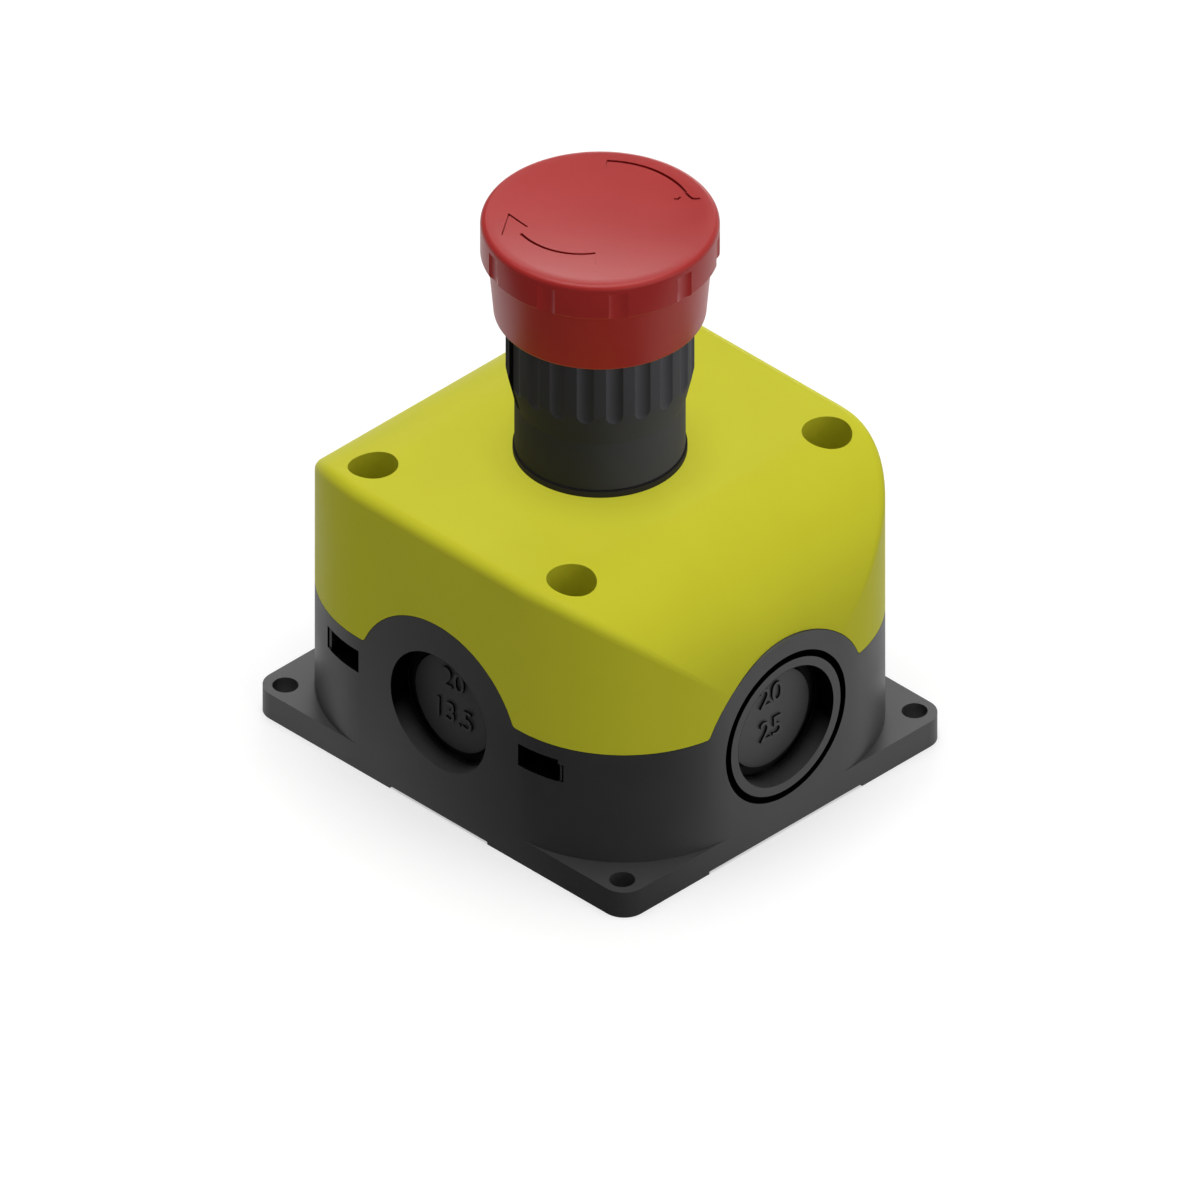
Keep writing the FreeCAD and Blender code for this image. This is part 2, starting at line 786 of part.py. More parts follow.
def cover_fixings():
    """The four cover screws and the brass inserts that they turn into."""
    screws = []
    inserts = []
    for index, (east, north) in enumerate(CORNERS):
        spot = fixing_spot(east, north)
        screws.append(
            screw(
                f"cover_screw_{index}",
                "screw_thread",
                "screw_head",
                "screw_head_height",
                "screw_length",
                "split_height + well_floor",
                spot,
            )
        )
        inserts.append(
            tube(
                f"insert_{index}",
                "insert_diameter",
                "screw_thread + 2 * thread_gap",
                "split_height - insert_length",
                "split_height",
                spot,
            )
        )
    piece(joined("cover_screws", screws), "cover_screws")
    piece(joined("screw_inserts", inserts), "screw_inserts")


# Neck of the actuator, fixed in the cover
def collar():
    """Flared and fluted sleeve whose threaded shank goes through the cover."""
    bore = "(stem_diameter / 2 + running_gap)"
    body = turned(
        "collar_body",
        [
            (bore, SHANK_BOTTOM),
            ("shank_diameter / 2", SHANK_BOTTOM),
            ("shank_diameter / 2", SEAT),
            ("neck_diameter / 2", SEAT),
            ("neck_diameter / 2", f"{SEAT} + neck_height"),
            ("flare_diameter / 2", f"{SEAT} + neck_height + flare_height"),
            ("flare_diameter / 2", COLLAR_TOP),
            ("chamber_diameter / 2", COLLAR_TOP),
            ("chamber_diameter / 2", CHAMBER_FLOOR),
            ("seal_diameter / 2", CHAMBER_FLOOR),
            ("seal_diameter / 2", f"{CHAMBER_FLOOR} - seal_height"),
            (bore, f"{CHAMBER_FLOOR} - seal_height"),
        ],
    )
    polar_cuts(
        body,
        "flute",
        "flute_cutter",
        "flare_diameter / 2 - flute_depth + flute_cutter / 2",
        f"{SEAT} + neck_height / 2",
        f"{COLLAR_TOP} + {PAST}",
        "flute_count",
    )
    slot = box(
        "neck_notch",
        ("flare_diameter / 2 - notch_depth", "flare_diameter"),
        ("-notch_width / 2", "notch_width / 2"),
        (f"{SEAT} + neck_height / 2", f"{COLLAR_TOP} + {PAST}"),
    )
    turned_slot = doc.addObject("Part::Compound", "neck_notch_turned")
    turned_slot.Links = [slot]
    turned_slot.Placement = FreeCAD.Placement(Vector(), Rotation(Vector(0, 0, 1), 0))
    bind(turned_slot, **{"Placement.Rotation.Angle": "notch_angle"})
    cuts = [turned_slot]
    cuts.append(
        box(
            "keyway",
            ("-stem_key / 2 - fit_gap", "stem_key / 2 + fit_gap"),
            ("0", "stem_key_reach + fit_gap"),
            (f"{KEY_BOTTOM} - press_travel - stop_gap", f"{CHAMBER_FLOOR} - seal_height / 2"),
        )
    )
    cuts.append(
        rod(
            "latch_bore",
            "latch_pin + 2 * running_gap",
            "-shank_diameter",
            "shank_diameter",
            ("0", LATCH_LEVEL),
            "X",
        )
    )
    cuts.append(
        tube(
            "ring_groove",
            f"shank_diameter + 2 * {PAST}",
            "shank_diameter - 2 * (ring_wire + latch_gap)",
            f"{LATCH_LEVEL} - ring_wire / 2 - latch_gap",
            f"{LATCH_LEVEL} + ring_wire / 2 + latch_gap",
        )
    )
    cuts.append(
        box(
            "shank_flat",
            ("-key_width / 2", "key_width / 2"),
            ("-shank_diameter", "-shank_diameter / 2 + ring_wire"),
            (f"{SHANK_BOTTOM} - {PAST}", f"{UNDERSIDE} + {PAST}"),
        )
    )
    nose = box(
        "panel_nose",
        ("-key_width / 2 + fit_gap", "key_width / 2 - fit_gap"),
        (f"shank_diameter / 2 - {PAST}", "key_reach - fit_gap"),
        (UNDERSIDE, f"{SEAT} + {PAST}"),
    )
    solid = joined("collar_blank", [cut("collar_cut", body, *cuts), nose])
    return piece(solid, "collar")


def neck_fittings():
    """Gasket on the cover, anti-turn washer and ring nut under it, seal round the stem."""
    gasket = tube("panel_gasket", "gasket_diameter", "2 * key_reach", "cover_top", SEAT)
    piece(gasket, "panel_gasket")
    ring = tube(
        "washer_ring",
        "washer_diameter",
        "shank_diameter + 2 * fit_gap",
        f"{UNDERSIDE} - washer_thickness",
        UNDERSIDE,
    )
    tongue = box(
        "washer_tongue",
        ("-key_width / 2 + fit_gap", "key_width / 2 - fit_gap"),
        (f"-washer_diameter / 2 + {PAST}", "-shank_diameter / 2 + ring_wire - fit_gap"),
        (f"{UNDERSIDE} - washer_thickness", UNDERSIDE),
    )
    piece(joined("lock_washer", [ring, tongue]), "lock_washer")
    nut_top = f"{UNDERSIDE} - washer_thickness"
    nut = turned(
        "ring_nut_body",
        [
            ("shank_diameter / 2 + thread_gap", f"{nut_top} - nut_height"),
            ("nut_diameter / 2 - nut_chamfer", f"{nut_top} - nut_height"),
            ("nut_diameter / 2", f"{nut_top} - nut_height + nut_chamfer"),
            ("nut_diameter / 2", nut_top),
            ("shank_diameter / 2 + thread_gap", nut_top),
        ],
    )
    polar_cuts(
        nut,
        "nut_notch",
        "nut_notch",
        "nut_diameter / 2",
        f"{nut_top} - nut_height - {PAST}",
        f"{nut_top} - washer_thickness",
        "nut_notches",
    )
    piece(nut, "ring_nut")
    low = f"{CHAMBER_FLOOR} - seal_height"
    seal = turned(
        "stem_seal",
        [
            ("stem_diameter / 2 + running_gap", low),
            ("seal_diameter / 2 - thread_gap", low),
            ("seal_diameter / 2 - thread_gap", CHAMBER_FLOOR),
            ("seal_diameter / 2 - seal_lip", CHAMBER_FLOOR),
            ("stem_diameter / 2 + seal_lip", f"{low} + seal_height / 2"),
            ("stem_diameter / 2 + running_gap", f"{CHAMBER_FLOOR} - seal_height / 4"),
        ],
    )
    piece(seal, "stem_seal")


# Stem with its latch
def stem():
    """Shaft with a spring plate, a cone and neck for the latch pins and a groove for its clip."""
    radius = "stem_diameter / 2"
    clip_top = f"({CLIP_BOTTOM} + clip_thickness)"
    shaft = turned(
        "stem_shaft",
        [
            ("0", PUSHER_TOP),
            (radius, PUSHER_TOP),
            (radius, LATCH_LOW),
            (f"{radius} - latch_stroke", f"{LATCH_LOW} + press_travel"),
            (f"{radius} - latch_stroke", f"{LATCH_HIGH} + press_travel + latch_gap"),
            (radius, f"{LATCH_HIGH} + press_travel + 2 * latch_gap"),
            (radius, PLATE_BOTTOM),
            ("plate_diameter / 2", PLATE_BOTTOM),
            ("plate_diameter / 2", PLATE_TOP),
            (radius, PLATE_TOP),
            (radius, CLIP_BOTTOM),
            ("clip_groove / 2", CLIP_BOTTOM),
            ("clip_groove / 2", clip_top),
            (radius, clip_top),
            (radius, f"{clip_top} + clip_thickness"),
            ("0", f"{clip_top} + clip_thickness"),
        ],
    )
    key = box(
        "stem_key_bar",
        ("-stem_key / 2", "stem_key / 2"),
        ("0", "stem_key_reach"),
        (KEY_BOTTOM, f"{KEY_BOTTOM} + stem_key_length"),
    )
    hole = rod("stem_screw_hole", "small_thread", f"{PUSHER_TOP} - {PAST}", f"{PUSHER_TOP} + small_length")
    piece(cut("stem", joined("stem_blank", [shaft, key]), hole), "stem")


def pusher():
    """Cross bar under the stem that presses both contact blocks."""
    span = "(block_offset + plunger_width / 2)"
    bar = box(
        "pusher_bar",
        (f"-{span}", span),
        ("-pusher_width / 2", "pusher_width / 2"),
        (PUSHER_BOTTOM, PUSHER_TOP),
    )
    hub = rod("pusher_boss", "pusher_hub", PUSHER_BOTTOM, PUSHER_TOP)
    seat = f"{PUSHER_BOTTOM} + small_head_height + stop_gap"
    below = f"{PUSHER_BOTTOM} - {PAST}"
    hole = rod("pusher_hole", "small_thread + 2 * thread_gap", below, f"{PUSHER_TOP} + {PAST}")
    sink = rod("pusher_sink", "small_head + 2 * fit_gap", below, seat)
    piece(cut("pusher", joined("pusher_blank", [bar, hub]), hole, sink), "pusher")
    fastener = screw("pusher_screw_up", *SMALL_SCREW, "0", ("0", "0"))
    turned_over = doc.addObject("Part::Compound", "pusher_screw")
    turned_over.Links = [fastener]
    turned_over.Placement = FreeCAD.Placement(Vector(), Rotation(Vector(1, 0, 0), 180))
    place(turned_over, "0", "0", seat)
    piece(turned_over, "pusher_screw")


def latch():
    """Two pins pressed against the stem by an open spring ring round the shank."""
    inner = "stem_diameter / 2 + latch_gap"
    outer = "shank_diameter / 2 - ring_wire - latch_gap"
    ends = {"left": (f"-({outer})", f"-({inner})"), "right": (inner, outer)}
    for hand, (low, high) in ends.items():
        name = f"latch_pin_{hand}"
        piece(rod(name, "latch_pin", low, high, ("0", LATCH_LEVEL), "X"), name)
    ring = doc.addObject("Part::Torus", "latch_ring_full")
    bind(ring, Radius1="shank_diameter / 2 - ring_wire / 2", Radius2="ring_wire / 2")
    place(ring, "0", "0", LATCH_LEVEL)
    opening = box(
        "latch_ring_opening",
        ("-ring_opening / 2", "ring_opening / 2"),
        ("0", "shank_diameter"),
        (f"{LATCH_LEVEL} - ring_wire", f"{LATCH_LEVEL} + ring_wire"),
    )
    piece(cut("latch_ring", ring, opening), "latch_ring")


def stem_fittings():
    """Return spring under the stem's plate, and the clip that holds the head on the stem."""
    name = "return_spring"
    piece(coil(name, "spring_diameter", "spring_wire", CHAMBER_FLOOR, PLATE_BOTTOM, "spring_turns"), name)
    clip_top = f"{CLIP_BOTTOM} + clip_thickness"
    ring = tube("clip_ring", "clip_diameter", "clip_groove", CLIP_BOTTOM, clip_top)
    opening = box(
        "clip_opening",
        ("0", "clip_diameter"),
        ("-clip_mouth / 2", "clip_mouth / 2"),
        (f"{CLIP_BOTTOM} - {PAST}", f"{clip_top} + {PAST}"),
    )
    piece(cut("hub_clip", ring, opening), "hub_clip")


# Push cap
def push_cap():
    """Mushroom cap: tapered skirt, wider gripping band and a dished top."""
    bore = "cap_bore / 2"
    body = turned(
        "cap_body",
        [
            (bore, CAP_BOTTOM),
            ("skirt_bottom / 2", CAP_BOTTOM),
            ("skirt_top / 2", BAND_BOTTOM),
            ("band_diameter / 2", BAND_BOTTOM),
            ("band_diameter / 2", CAP_TOP),
            ("0", CAP_TOP),
            ("0", CEILING),
            (bore, CEILING),
        ],
    )
    rim = size("band_diameter") / 2

    def ring_edge(radius, z):
        def test(edge):
            bounds = edge.BoundBox
            misses = (bounds.XMax - radius, bounds.ZMin - z, bounds.ZMax - z)
            return max(abs(miss) for miss in misses) < LEVEL
        return test

    top = body.Shape.BoundBox.ZMax
    bottom = body.Shape.BoundBox.ZMin
    round_edges(body, "cap_rim", "rim_rounding", ring_edge(rim, top))
    round_edges(body, "cap_hem", "skirt_rounding", ring_edge(size("skirt_bottom") / 2, bottom))
    band = bottom + size("skirt_height")
    round_edges(body, "cap_band", "band_rounding", ring_edge(rim, band))
    polar_cuts(
        body,
        "grip",
        "grip_cutter",
        "band_diameter / 2 - grip_depth + grip_cutter / 2",
        f"{BAND_BOTTOM} - skirt_rounding",
        f"{CAP_TOP} - rim_rounding",
        "grip_count",
    )
    ball = doc.addObject("Part::Sphere", "dish_ball")
    reach = "((dish_diameter ^ 2 / 4 + dish_depth ^ 2) / (2 * dish_depth))"
    bind(ball, Radius=reach)
    place(ball, "0", "0", f"{CAP_TOP} - dish_depth + {reach}")
    piece(cut("push_cap", body, ball), "push_cap")


def cap_hub():
    """Insert in the cap that turns on the stem, with the room for its spring and clip."""
    clip_room = f"({CLIP_BOTTOM} - turn_gap)"
    hub = turned(
        "cap_hub",
        [
            ("hub_recess / 2", HUB_BOTTOM),
            ("hub_diameter / 2", HUB_BOTTOM),
            ("hub_diameter / 2", HUB_PLATE_BOTTOM),
            ("cap_bore / 2 - thread_gap", HUB_PLATE_BOTTOM),
            ("cap_bore / 2 - thread_gap", CEILING),
            ("hub_recess / 2", CEILING),
            ("hub_recess / 2", clip_room),
            ("stem_diameter / 2 + running_gap", clip_room),
            ("stem_diameter / 2 + running_gap", f"{HUB_BOTTOM} + hub_recess_depth"),
            ("hub_recess / 2", f"{HUB_BOTTOM} + hub_recess_depth"),
        ],
    )
    piece(hub, "cap_hub")
    spring = coil(
        "twist_spring",
        "twist_spring_diameter",
        "twist_spring_wire",
        f"{HUB_BOTTOM}",
        f"{HUB_BOTTOM} + hub_recess_depth",
        "twist_spring_turns",
    )
    piece(spring, "twist_spring")


# Contact blocks
def contact_carrier():
    """Plate on two bosses of the base, with low ribs that hold the contact blocks."""
    plate = box(
        "carrier_plate",
        ("-carrier_length / 2", "carrier_length / 2"),
        ("-carrier_width / 2", "carrier_width / 2"),
        (CARRIER_SEAT, CARRIER_TOP),
    )
    ribs = []
    holes = []
    screws = []
    for name, sign in (("left", -1), ("right", 1)):
        for flank, away in (("inner", -1), ("outer", 1)):
            edge = f"block_offset + {away} * block_width / 2"
            near = f"{sign} * ({edge} + {away} * fit_gap)"
            far = f"{sign} * ({edge} + {away} * (fit_gap + carrier_rib))"
            ends = (near, far) if sign * away > 0 else (far, near)
            ribs.append(
                box(
                    f"carrier_rib_{name}_{flank}",
                    ends,
                    ("-carrier_rib_height", "carrier_rib_height"),
                    (f"{CARRIER_TOP} - carrier_thickness / 2", f"{CARRIER_TOP} + carrier_rib_height"),
                )
            )
    for name, north in (("front", -1), ("back", 1)):
        spot = ("0", f"{north} * carrier_screw_y")
        holes.append(
            rod(
                f"carrier_opening_{name}",
                "small_thread + 2 * thread_gap",
                f"{CARRIER_SEAT} - {PAST}",
                f"{CARRIER_TOP} + {PAST}",
                spot,
            )
        )
        screws.append(screw(f"carrier_screw_{name}", *SMALL_SCREW, CARRIER_TOP, spot))
    blank = joined("carrier_blank", [plate] + ribs)
    piece(cut("contact_carrier", blank, *holes), "contact_carrier")
    piece(joined("carrier_screws", screws), "carrier_screws")


def around(middle, reach):
    """The low and high end of a stretch that reaches equally far both ways from the middle."""
    return f"{middle} - ({reach})", f"{middle} + ({reach})"


def contact_housing(hand, middle):
    """Block with a tower for the moving contact and a terminal shoulder at each end."""
    outside = around(middle, "block_width / 2")
    tower_span = around("0", "tower_length / 2")
    block_span = around("0", "block_length / 2")
    tower = box(f"{hand}_tower", outside, tower_span, (CARRIER_TOP, BLOCK_TOP))
    shoulders = box(f"{hand}_shoulders", outside, block_span, (CARRIER_TOP, SHOULDER_TOP))
    cuts = [
        box(
            f"{hand}_chamber",
            around(middle, "block_width / 2 - block_wall"),
            around("0", "tower_length / 2 - block_wall"),
            (f"{CARRIER_TOP} + block_floor", f"{BLOCK_TOP} - block_roof"),
        ),
        box(
            f"{hand}_roof_hole",
            around(middle, "plunger_width / 2 + fit_gap"),
            around("0", "plunger_width / 2 + fit_gap"),
            (f"{BLOCK_TOP} - block_roof - {PAST}", f"{BLOCK_TOP} + {PAST}"),
        ),
    ]
    strip = around(middle, "contact_width / 2")
    room = around(middle, "contact_width / 2 + fit_gap")
    strip_top = f"{CONTACT_PLANE} + contact_thickness"
    end_face = f"(block_length / 2 + {PAST})"
    stretches = {
        "slot": (f"(tower_length / 2 - block_wall - {PAST})", end_face),
        "blade": ("contact_inner", "(block_length / 2 - block_wall)"),
        "wire": ("(terminal_y - clamp_length / 2 - block_wall / 2)", end_face),
    }
    for end, sign in (("front", -1), ("rear", 1)):
        name = f"{hand}_{end}"
        along = {part: [f"{sign} * {y}" for y in ends[::sign]] for part, ends in stretches.items()}
        spot = (middle, f"{sign} * terminal_y")
        cuts.append(box(f"{name}_strip_slot", strip, along["slot"], (CONTACT_PLANE, strip_top)))
        wire_low = f"{CONTACT_PLANE} - wire_height"
        cuts.append(box(f"{name}_wire_way", room, along["wire"], (wire_low, CONTACT_PLANE)))
        well_low = f"{CONTACT_PLANE} + contact_thickness / 2"
        cuts.append(rod(f"{name}_well", "terminal_well", well_low, f"{SHOULDER_TOP} + {PAST}", spot))
        blade = box(f"{name}_blade", strip, along["blade"], (CONTACT_PLANE, strip_top))
        hole = rod(
            f"{name}_hole",
            "small_thread + 2 * thread_gap",
            f"{CONTACT_PLANE} - {PAST}",
            f"{strip_top} + {PAST}",
            spot,
        )
        piece(cut(f"{name}_terminal", blade, hole), f"{name}_terminal")
    solid = joined(f"{hand}_block", [tower, shoulders])
    piece(cut(f"{hand}_contact_housing", solid, *cuts), f"{hand}_contact_housing")


def terminals(hand, middle):
    """Terminal screws with the clamps that they pull up against the terminals."""
    screws = []
    clamps = []
    clamp_top = f"({CONTACT_PLANE} - clamp_drop)"
    clamp_bottom = f"({clamp_top} - clamp_thickness)"
    seat = f"{CONTACT_PLANE} + contact_thickness"
    for end, sign in (("front", -1), ("rear", 1)):
        name = f"{hand}_{end}"
        spot = (middle, f"{sign} * terminal_y")
        screws.append(screw(f"{name}_screw", *SMALL_HEAD, "wire_height", seat, spot))
        plate = box(
            f"{name}_clamp_plate",
            around(middle, "contact_width / 2"),
            around(spot[1], "clamp_length / 2"),
            (clamp_bottom, clamp_top),
        )
        hole = rod(
            f"{name}_clamp_hole",
            "small_thread + 2 * thread_gap",
            f"{clamp_bottom} - {PAST}",
            f"{clamp_top} + {PAST}",
            spot,
        )
        clamps.append(cut(f"{name}_clamp", plate, hole))
    piece(joined(f"{hand}_terminal_screws", screws), f"{hand}_terminal_screws")
    piece(joined(f"{hand}_wire_clamps", clamps), f"{hand}_wire_clamps")


def moving_contact(hand, middle):
    """Plunger that carries the contact bridge, its two tips and the spring under it."""
    tip_top = f"({CONTACT_PLANE} - touch_gap)"
    bridge_top = f"({tip_top} - tip_height)"
    bridge_bottom = f"({bridge_top} - bridge_thickness)"
    at = (middle, "0")
    shaft = box(
        f"{hand}_plunger_shaft",
        around(middle, "plunger_width / 2"),
        around("0", "plunger_width / 2"),
        (bridge_top, f"{PUSHER_BOTTOM} - touch_gap"),
    )
    nib_low = f"{bridge_bottom} - nib_length"
    nib = rod(f"{hand}_plunger_nib", "nib_diameter", nib_low, f"{bridge_top} + tip_height", at)
    piece(joined(f"{hand}_plunger", [shaft, nib]), f"{hand}_plunger")
    bar = box(
        f"{hand}_bridge_bar",
        around(middle, "bridge_width / 2"),
        around("0", "bridge_length / 2"),
        (bridge_bottom, bridge_top),
    )
    hole = rod(
        f"{hand}_bridge_hole",
        "nib_diameter + 2 * thread_gap",
        f"{bridge_bottom} - {PAST}",
        f"{bridge_top} + {PAST}",
        at,
    )
    piece(cut(f"{hand}_bridge", bar, hole), f"{hand}_bridge")
    tips = []
    for end, sign in (("front", -1), ("rear", 1)):
        spot = (middle, f"{sign} * (bridge_length - tip_diameter) / 2")
        tips.append(rod(f"{hand}_tip_{end}", "tip_diameter", bridge_top, tip_top, spot))
    piece(joined(f"{hand}_contact_tips", tips), f"{hand}_contact_tips")
    spring = coil(
        f"{hand}_contact_spring",
        "contact_spring",
        "contact_spring_wire",
        f"{CARRIER_TOP} + block_floor",
        bridge_bottom,
        "contact_spring_turns",
        at,
    )
    piece(spring, f"{hand}_contact_spring")


# Assembly
base_housing(seam_gasket())
cover()
cover_fixings()
collar()
neck_fittings()
stem()
pusher()
latch()
stem_fittings()
push_cap()
cap_hub()
contact_carrier()
for hand, middle in (("left", "-block_offset"), ("right", "block_offset")):
    contact_housing(hand, middle)
    terminals(hand, middle)
    moving_contact(hand, middle)
doc.recompute()

# Checks before anything is written
for thing in doc.Objects:
    if "Invalid" in thing.State or "Error" in thing.State:
        raise RuntimeError(f"{thing.Name} did not recompute: {thing.State}")
for thing in PIECES:
    if thing.Shape.isNull() or not thing.Shape.isValid() or thing.Shape.Volume <= 0:
        raise RuntimeError(f"{thing.Label} is not a valid solid")

os.makedirs("parts", exist_ok=True)
for thing in PIECES:
    thing.Shape.exportStep(os.path.join("parts", f"{thing.Label}.step"))
print(len(PIECES), "pieces written")
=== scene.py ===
import json
import math
import bpy
from mathutils import Matrix, Vector


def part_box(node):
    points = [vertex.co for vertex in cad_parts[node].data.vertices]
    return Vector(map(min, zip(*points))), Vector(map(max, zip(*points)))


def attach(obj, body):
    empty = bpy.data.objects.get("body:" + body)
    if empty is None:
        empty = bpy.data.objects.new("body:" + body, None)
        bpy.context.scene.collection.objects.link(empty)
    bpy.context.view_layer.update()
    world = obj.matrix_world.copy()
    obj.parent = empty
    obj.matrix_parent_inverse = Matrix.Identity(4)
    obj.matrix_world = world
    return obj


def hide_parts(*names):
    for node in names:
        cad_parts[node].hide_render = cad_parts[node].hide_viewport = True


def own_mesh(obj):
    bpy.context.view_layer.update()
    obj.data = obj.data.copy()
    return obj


# Emergency stop switch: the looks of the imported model.
# Lengths and places are in millimetres, and MM turns them into the scene's metres.
MM = 0.001
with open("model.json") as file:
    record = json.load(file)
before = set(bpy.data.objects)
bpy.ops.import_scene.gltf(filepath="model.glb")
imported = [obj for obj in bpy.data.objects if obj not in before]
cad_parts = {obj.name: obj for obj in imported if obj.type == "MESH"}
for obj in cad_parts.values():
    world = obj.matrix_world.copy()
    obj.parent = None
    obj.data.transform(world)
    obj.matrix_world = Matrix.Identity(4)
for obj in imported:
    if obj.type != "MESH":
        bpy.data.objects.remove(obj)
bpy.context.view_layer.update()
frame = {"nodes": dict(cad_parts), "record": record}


# How finely round forms are stepped, and how far a cutter reaches past a surface
TURN_STEPS, CUTTER_STEPS, CORNER_STEPS = 180, 48, 8
PAST = 1

# Housing: how far out its sides stand, its cable entries, and the slots of its long sides
HALF_LENGTH, HALF_WIDTH = (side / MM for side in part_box("base_housing")[1][:2])
ENTRY_HEIGHT, ENTRY_RADIUS, ENTRY_DEPTH = 21.15, 11.2, 3.7
ENTRY_RING_INNER, ENTRY_RING_OUTER, ENTRY_RING_DEPTH = 12.9, 14.1, 1.2
SLOT_START, SLOT_END, SLOT_LOW, SLOT_HIGH = 18.8, 26.85, 19.85, 24.25

# Raised numbers: their size, the height of their two lines from the entry's middle,
# how far they stand out and how deep their foot is in the disc
NUMBER_SIZE, NUMBER_LEVELS = 5.6, (4.6, -2.2)
NUMBER_RISE, NUMBER_FOOT = 0.4, 0.1

# Mushroom cap: the skirt, the wider band with its grips, and the dished top
CAP_LOW, CAP_HIGH = (corner.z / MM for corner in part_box("push_cap"))
CAP_BORE, CAP_CEILING = 16.2, CAP_HIGH - 4
SKIRT_FOOT_RADIUS, SKIRT_TOP_RADIUS = 17.75, 18.8
BAND_RADIUS, BAND_LOW = 20.0, CAP_LOW + 12
RIM_ROUNDING = 1.0
DISH_RADIUS, DISH_DEPTH, DISH_STEPS = 19.0, 1.0, 12
GRIP_COUNT, GRIP_RADIUS, GRIP_DEPTH = 10, 3.4, 0.5
GRIP_LOW, GRIP_HIGH = BAND_LOW - 0.6, CAP_HIGH - 1.6

# Turn arrows: the height of their cutters, and the degrees between the steps of an arc
ARROW_CUTTER, ARC_STEP = 3, 3

# Neck: its radii, its heights above the cover, its flutes and the notch in its flare
STEM_BORE, SEAL_RADIUS, SHANK_RADIUS, CHAMBER_RADIUS = 5.08, 6.7, 10.9, 11.6
NECK_RADIUS, FLARE_RADIUS = 14.3, 15.75
SEAL_FLOOR, CHAMBER_FLOOR, FLARE_START, FLARE_END = 2.5, 4.5, 9.4, 15.7
FLUTE_COUNT, FLUTE_RADIUS, FLUTE_DEPTH, FLUTE_FOOT = 20, 2.4, 0.55, 12.9
NOTCH_TURN, NOTCH_WIDTH, NOTCH_RADIUS, NOTCH_FOOT = -120, 4, 14.55, 9.5

# Neck's shank: the keyway of the stem, the flat at the gap of the latch ring, the nose that stops
# the neck from turning, and the latch, with heights above the cover or above the shank's foot
KEYWAY_WIDTH, KEYWAY_RADIUS, KEYWAY_LOW, KEYWAY_HIGH = 2.3, 6.35, -9.6, 3.5
FLAT_WIDTH, FLAT_RADIUS, FLAT_HIGH = 3.2, 10, -3.3
NOSE_WIDTH, NOSE_START, NOSE_RADIUS, NOSE_LOW = 2.9, 9.9, 11.95, -4.3
LATCH_LEVEL, LATCH_BORE_RADIUS, LATCH_GROOVE_RADIUS, LATCH_GROOVE_WIDTH = 3, 1.58, 9.9, 1.1

# Gasket under the neck
GASKET_BORE, GASKET_RADIUS = 12.1, 14.6

# Springs: how far the wire stays from each seat
SPRING_GAP = 0.05

# Finishes: how many patches of gloss and colour there are to a metre
PATCHES_PER_METRE = 60

# Surroundings: the width of the picture and the height of its middle, and the floor
VIEW_WIDTH, VIEW_HEIGHT, CAMERA_DISTANCE = 200, 25.08, 800
FLOOR_RADIUS, FLOOR_DROP = 2500, 0.02


# Modelling steps
def clear_selection():
    bpy.ops.object.select_all(action="DESELECT")


def take(piece):
    clear_selection()
    piece.select_set(True)
    bpy.context.view_layer.objects.active = piece


def settle(piece):
    """Puts the piece's place into its mesh."""
    take(piece)
    bpy.ops.object.transform_apply(location=True, rotation=True, scale=True)
    return piece


def move(piece, x, y, z):
    piece.data.transform(Matrix.Translation((x * MM, y * MM, z * MM)))


def swing(piece, degrees, axis="Z"):
    piece.data.transform(Matrix.Rotation(math.radians(degrees), 4, axis))


def sealed(piece):
    """Merges the points of a mesh that coincide, and points its faces outwards."""
    take(piece)
    bpy.ops.object.mode_set(mode="EDIT")
    bpy.ops.mesh.select_all(action="SELECT")
    bpy.ops.mesh.remove_doubles(threshold=1e-7)
    bpy.ops.mesh.normals_make_consistent(inside=False)
    bpy.ops.object.mode_set(mode="OBJECT")
    return piece


def together(name, pieces):
    """Joins several pieces into one object."""
    take(pieces[0])
    for other in pieces[1:]:
        other.select_set(True)
    bpy.ops.object.join()
    pieces[0].name = name
    return pieces[0]


def combine(piece, other, operation, crossing=False):
    """Cuts the other out of the piece or adds it; crossing says that its parts run into each other."""
    change = piece.modifiers.new("Combined", "BOOLEAN")
    change.operation = operation
    change.object = other
    change.solver = "EXACT"
    change.use_self = crossing
    take(piece)
    bpy.ops.object.modifier_apply(modifier=change.name)
    bpy.data.objects.remove(other)


def smooth(piece, angle):
    """Shades the piece smooth where its faces meet at less than the angle."""
    take(piece)
    bpy.ops.object.shade_smooth_by_angle(angle=math.radians(angle))


def finished(piece, material, slot, body, *nodes):
    """Gives a new piece its material and body, and lets it stand for its CAD nodes."""
    piece.data.materials.clear()
    piece.data.materials.append(material)
    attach(piece, body)
    if nodes:
        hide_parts(*nodes)
    return piece


# Shapes that several pieces start from
def rounded(outline):
    """The points of a closed (radius, height, rounding) outline, with its corners rounded."""
    points = []
    for index, (radius, height, *rounding) in enumerate(outline):
        here = Vector((radius, height))
        if not rounding:
            points.append(here)
            continue
        before = (Vector(outline[index - 1][:2]) - here).normalized()
        after = (Vector(outline[(index + 1) % len(outline)][:2]) - here).normalized()
        half = before.angle(after) / 2
        centre = here + (before + after).normalized() * (rounding[0] / math.sin(half))
        setback = rounding[0] / math.tan(half)
        start = here + before * setback - centre
        end = here + after * setback - centre
        sweep = start.angle_signed(end)
        for step in range(CORNER_STEPS + 1):
            turn = Matrix.Rotation(-sweep * step / CORNER_STEPS, 2)
            points.append(centre + turn @ start)
    return points


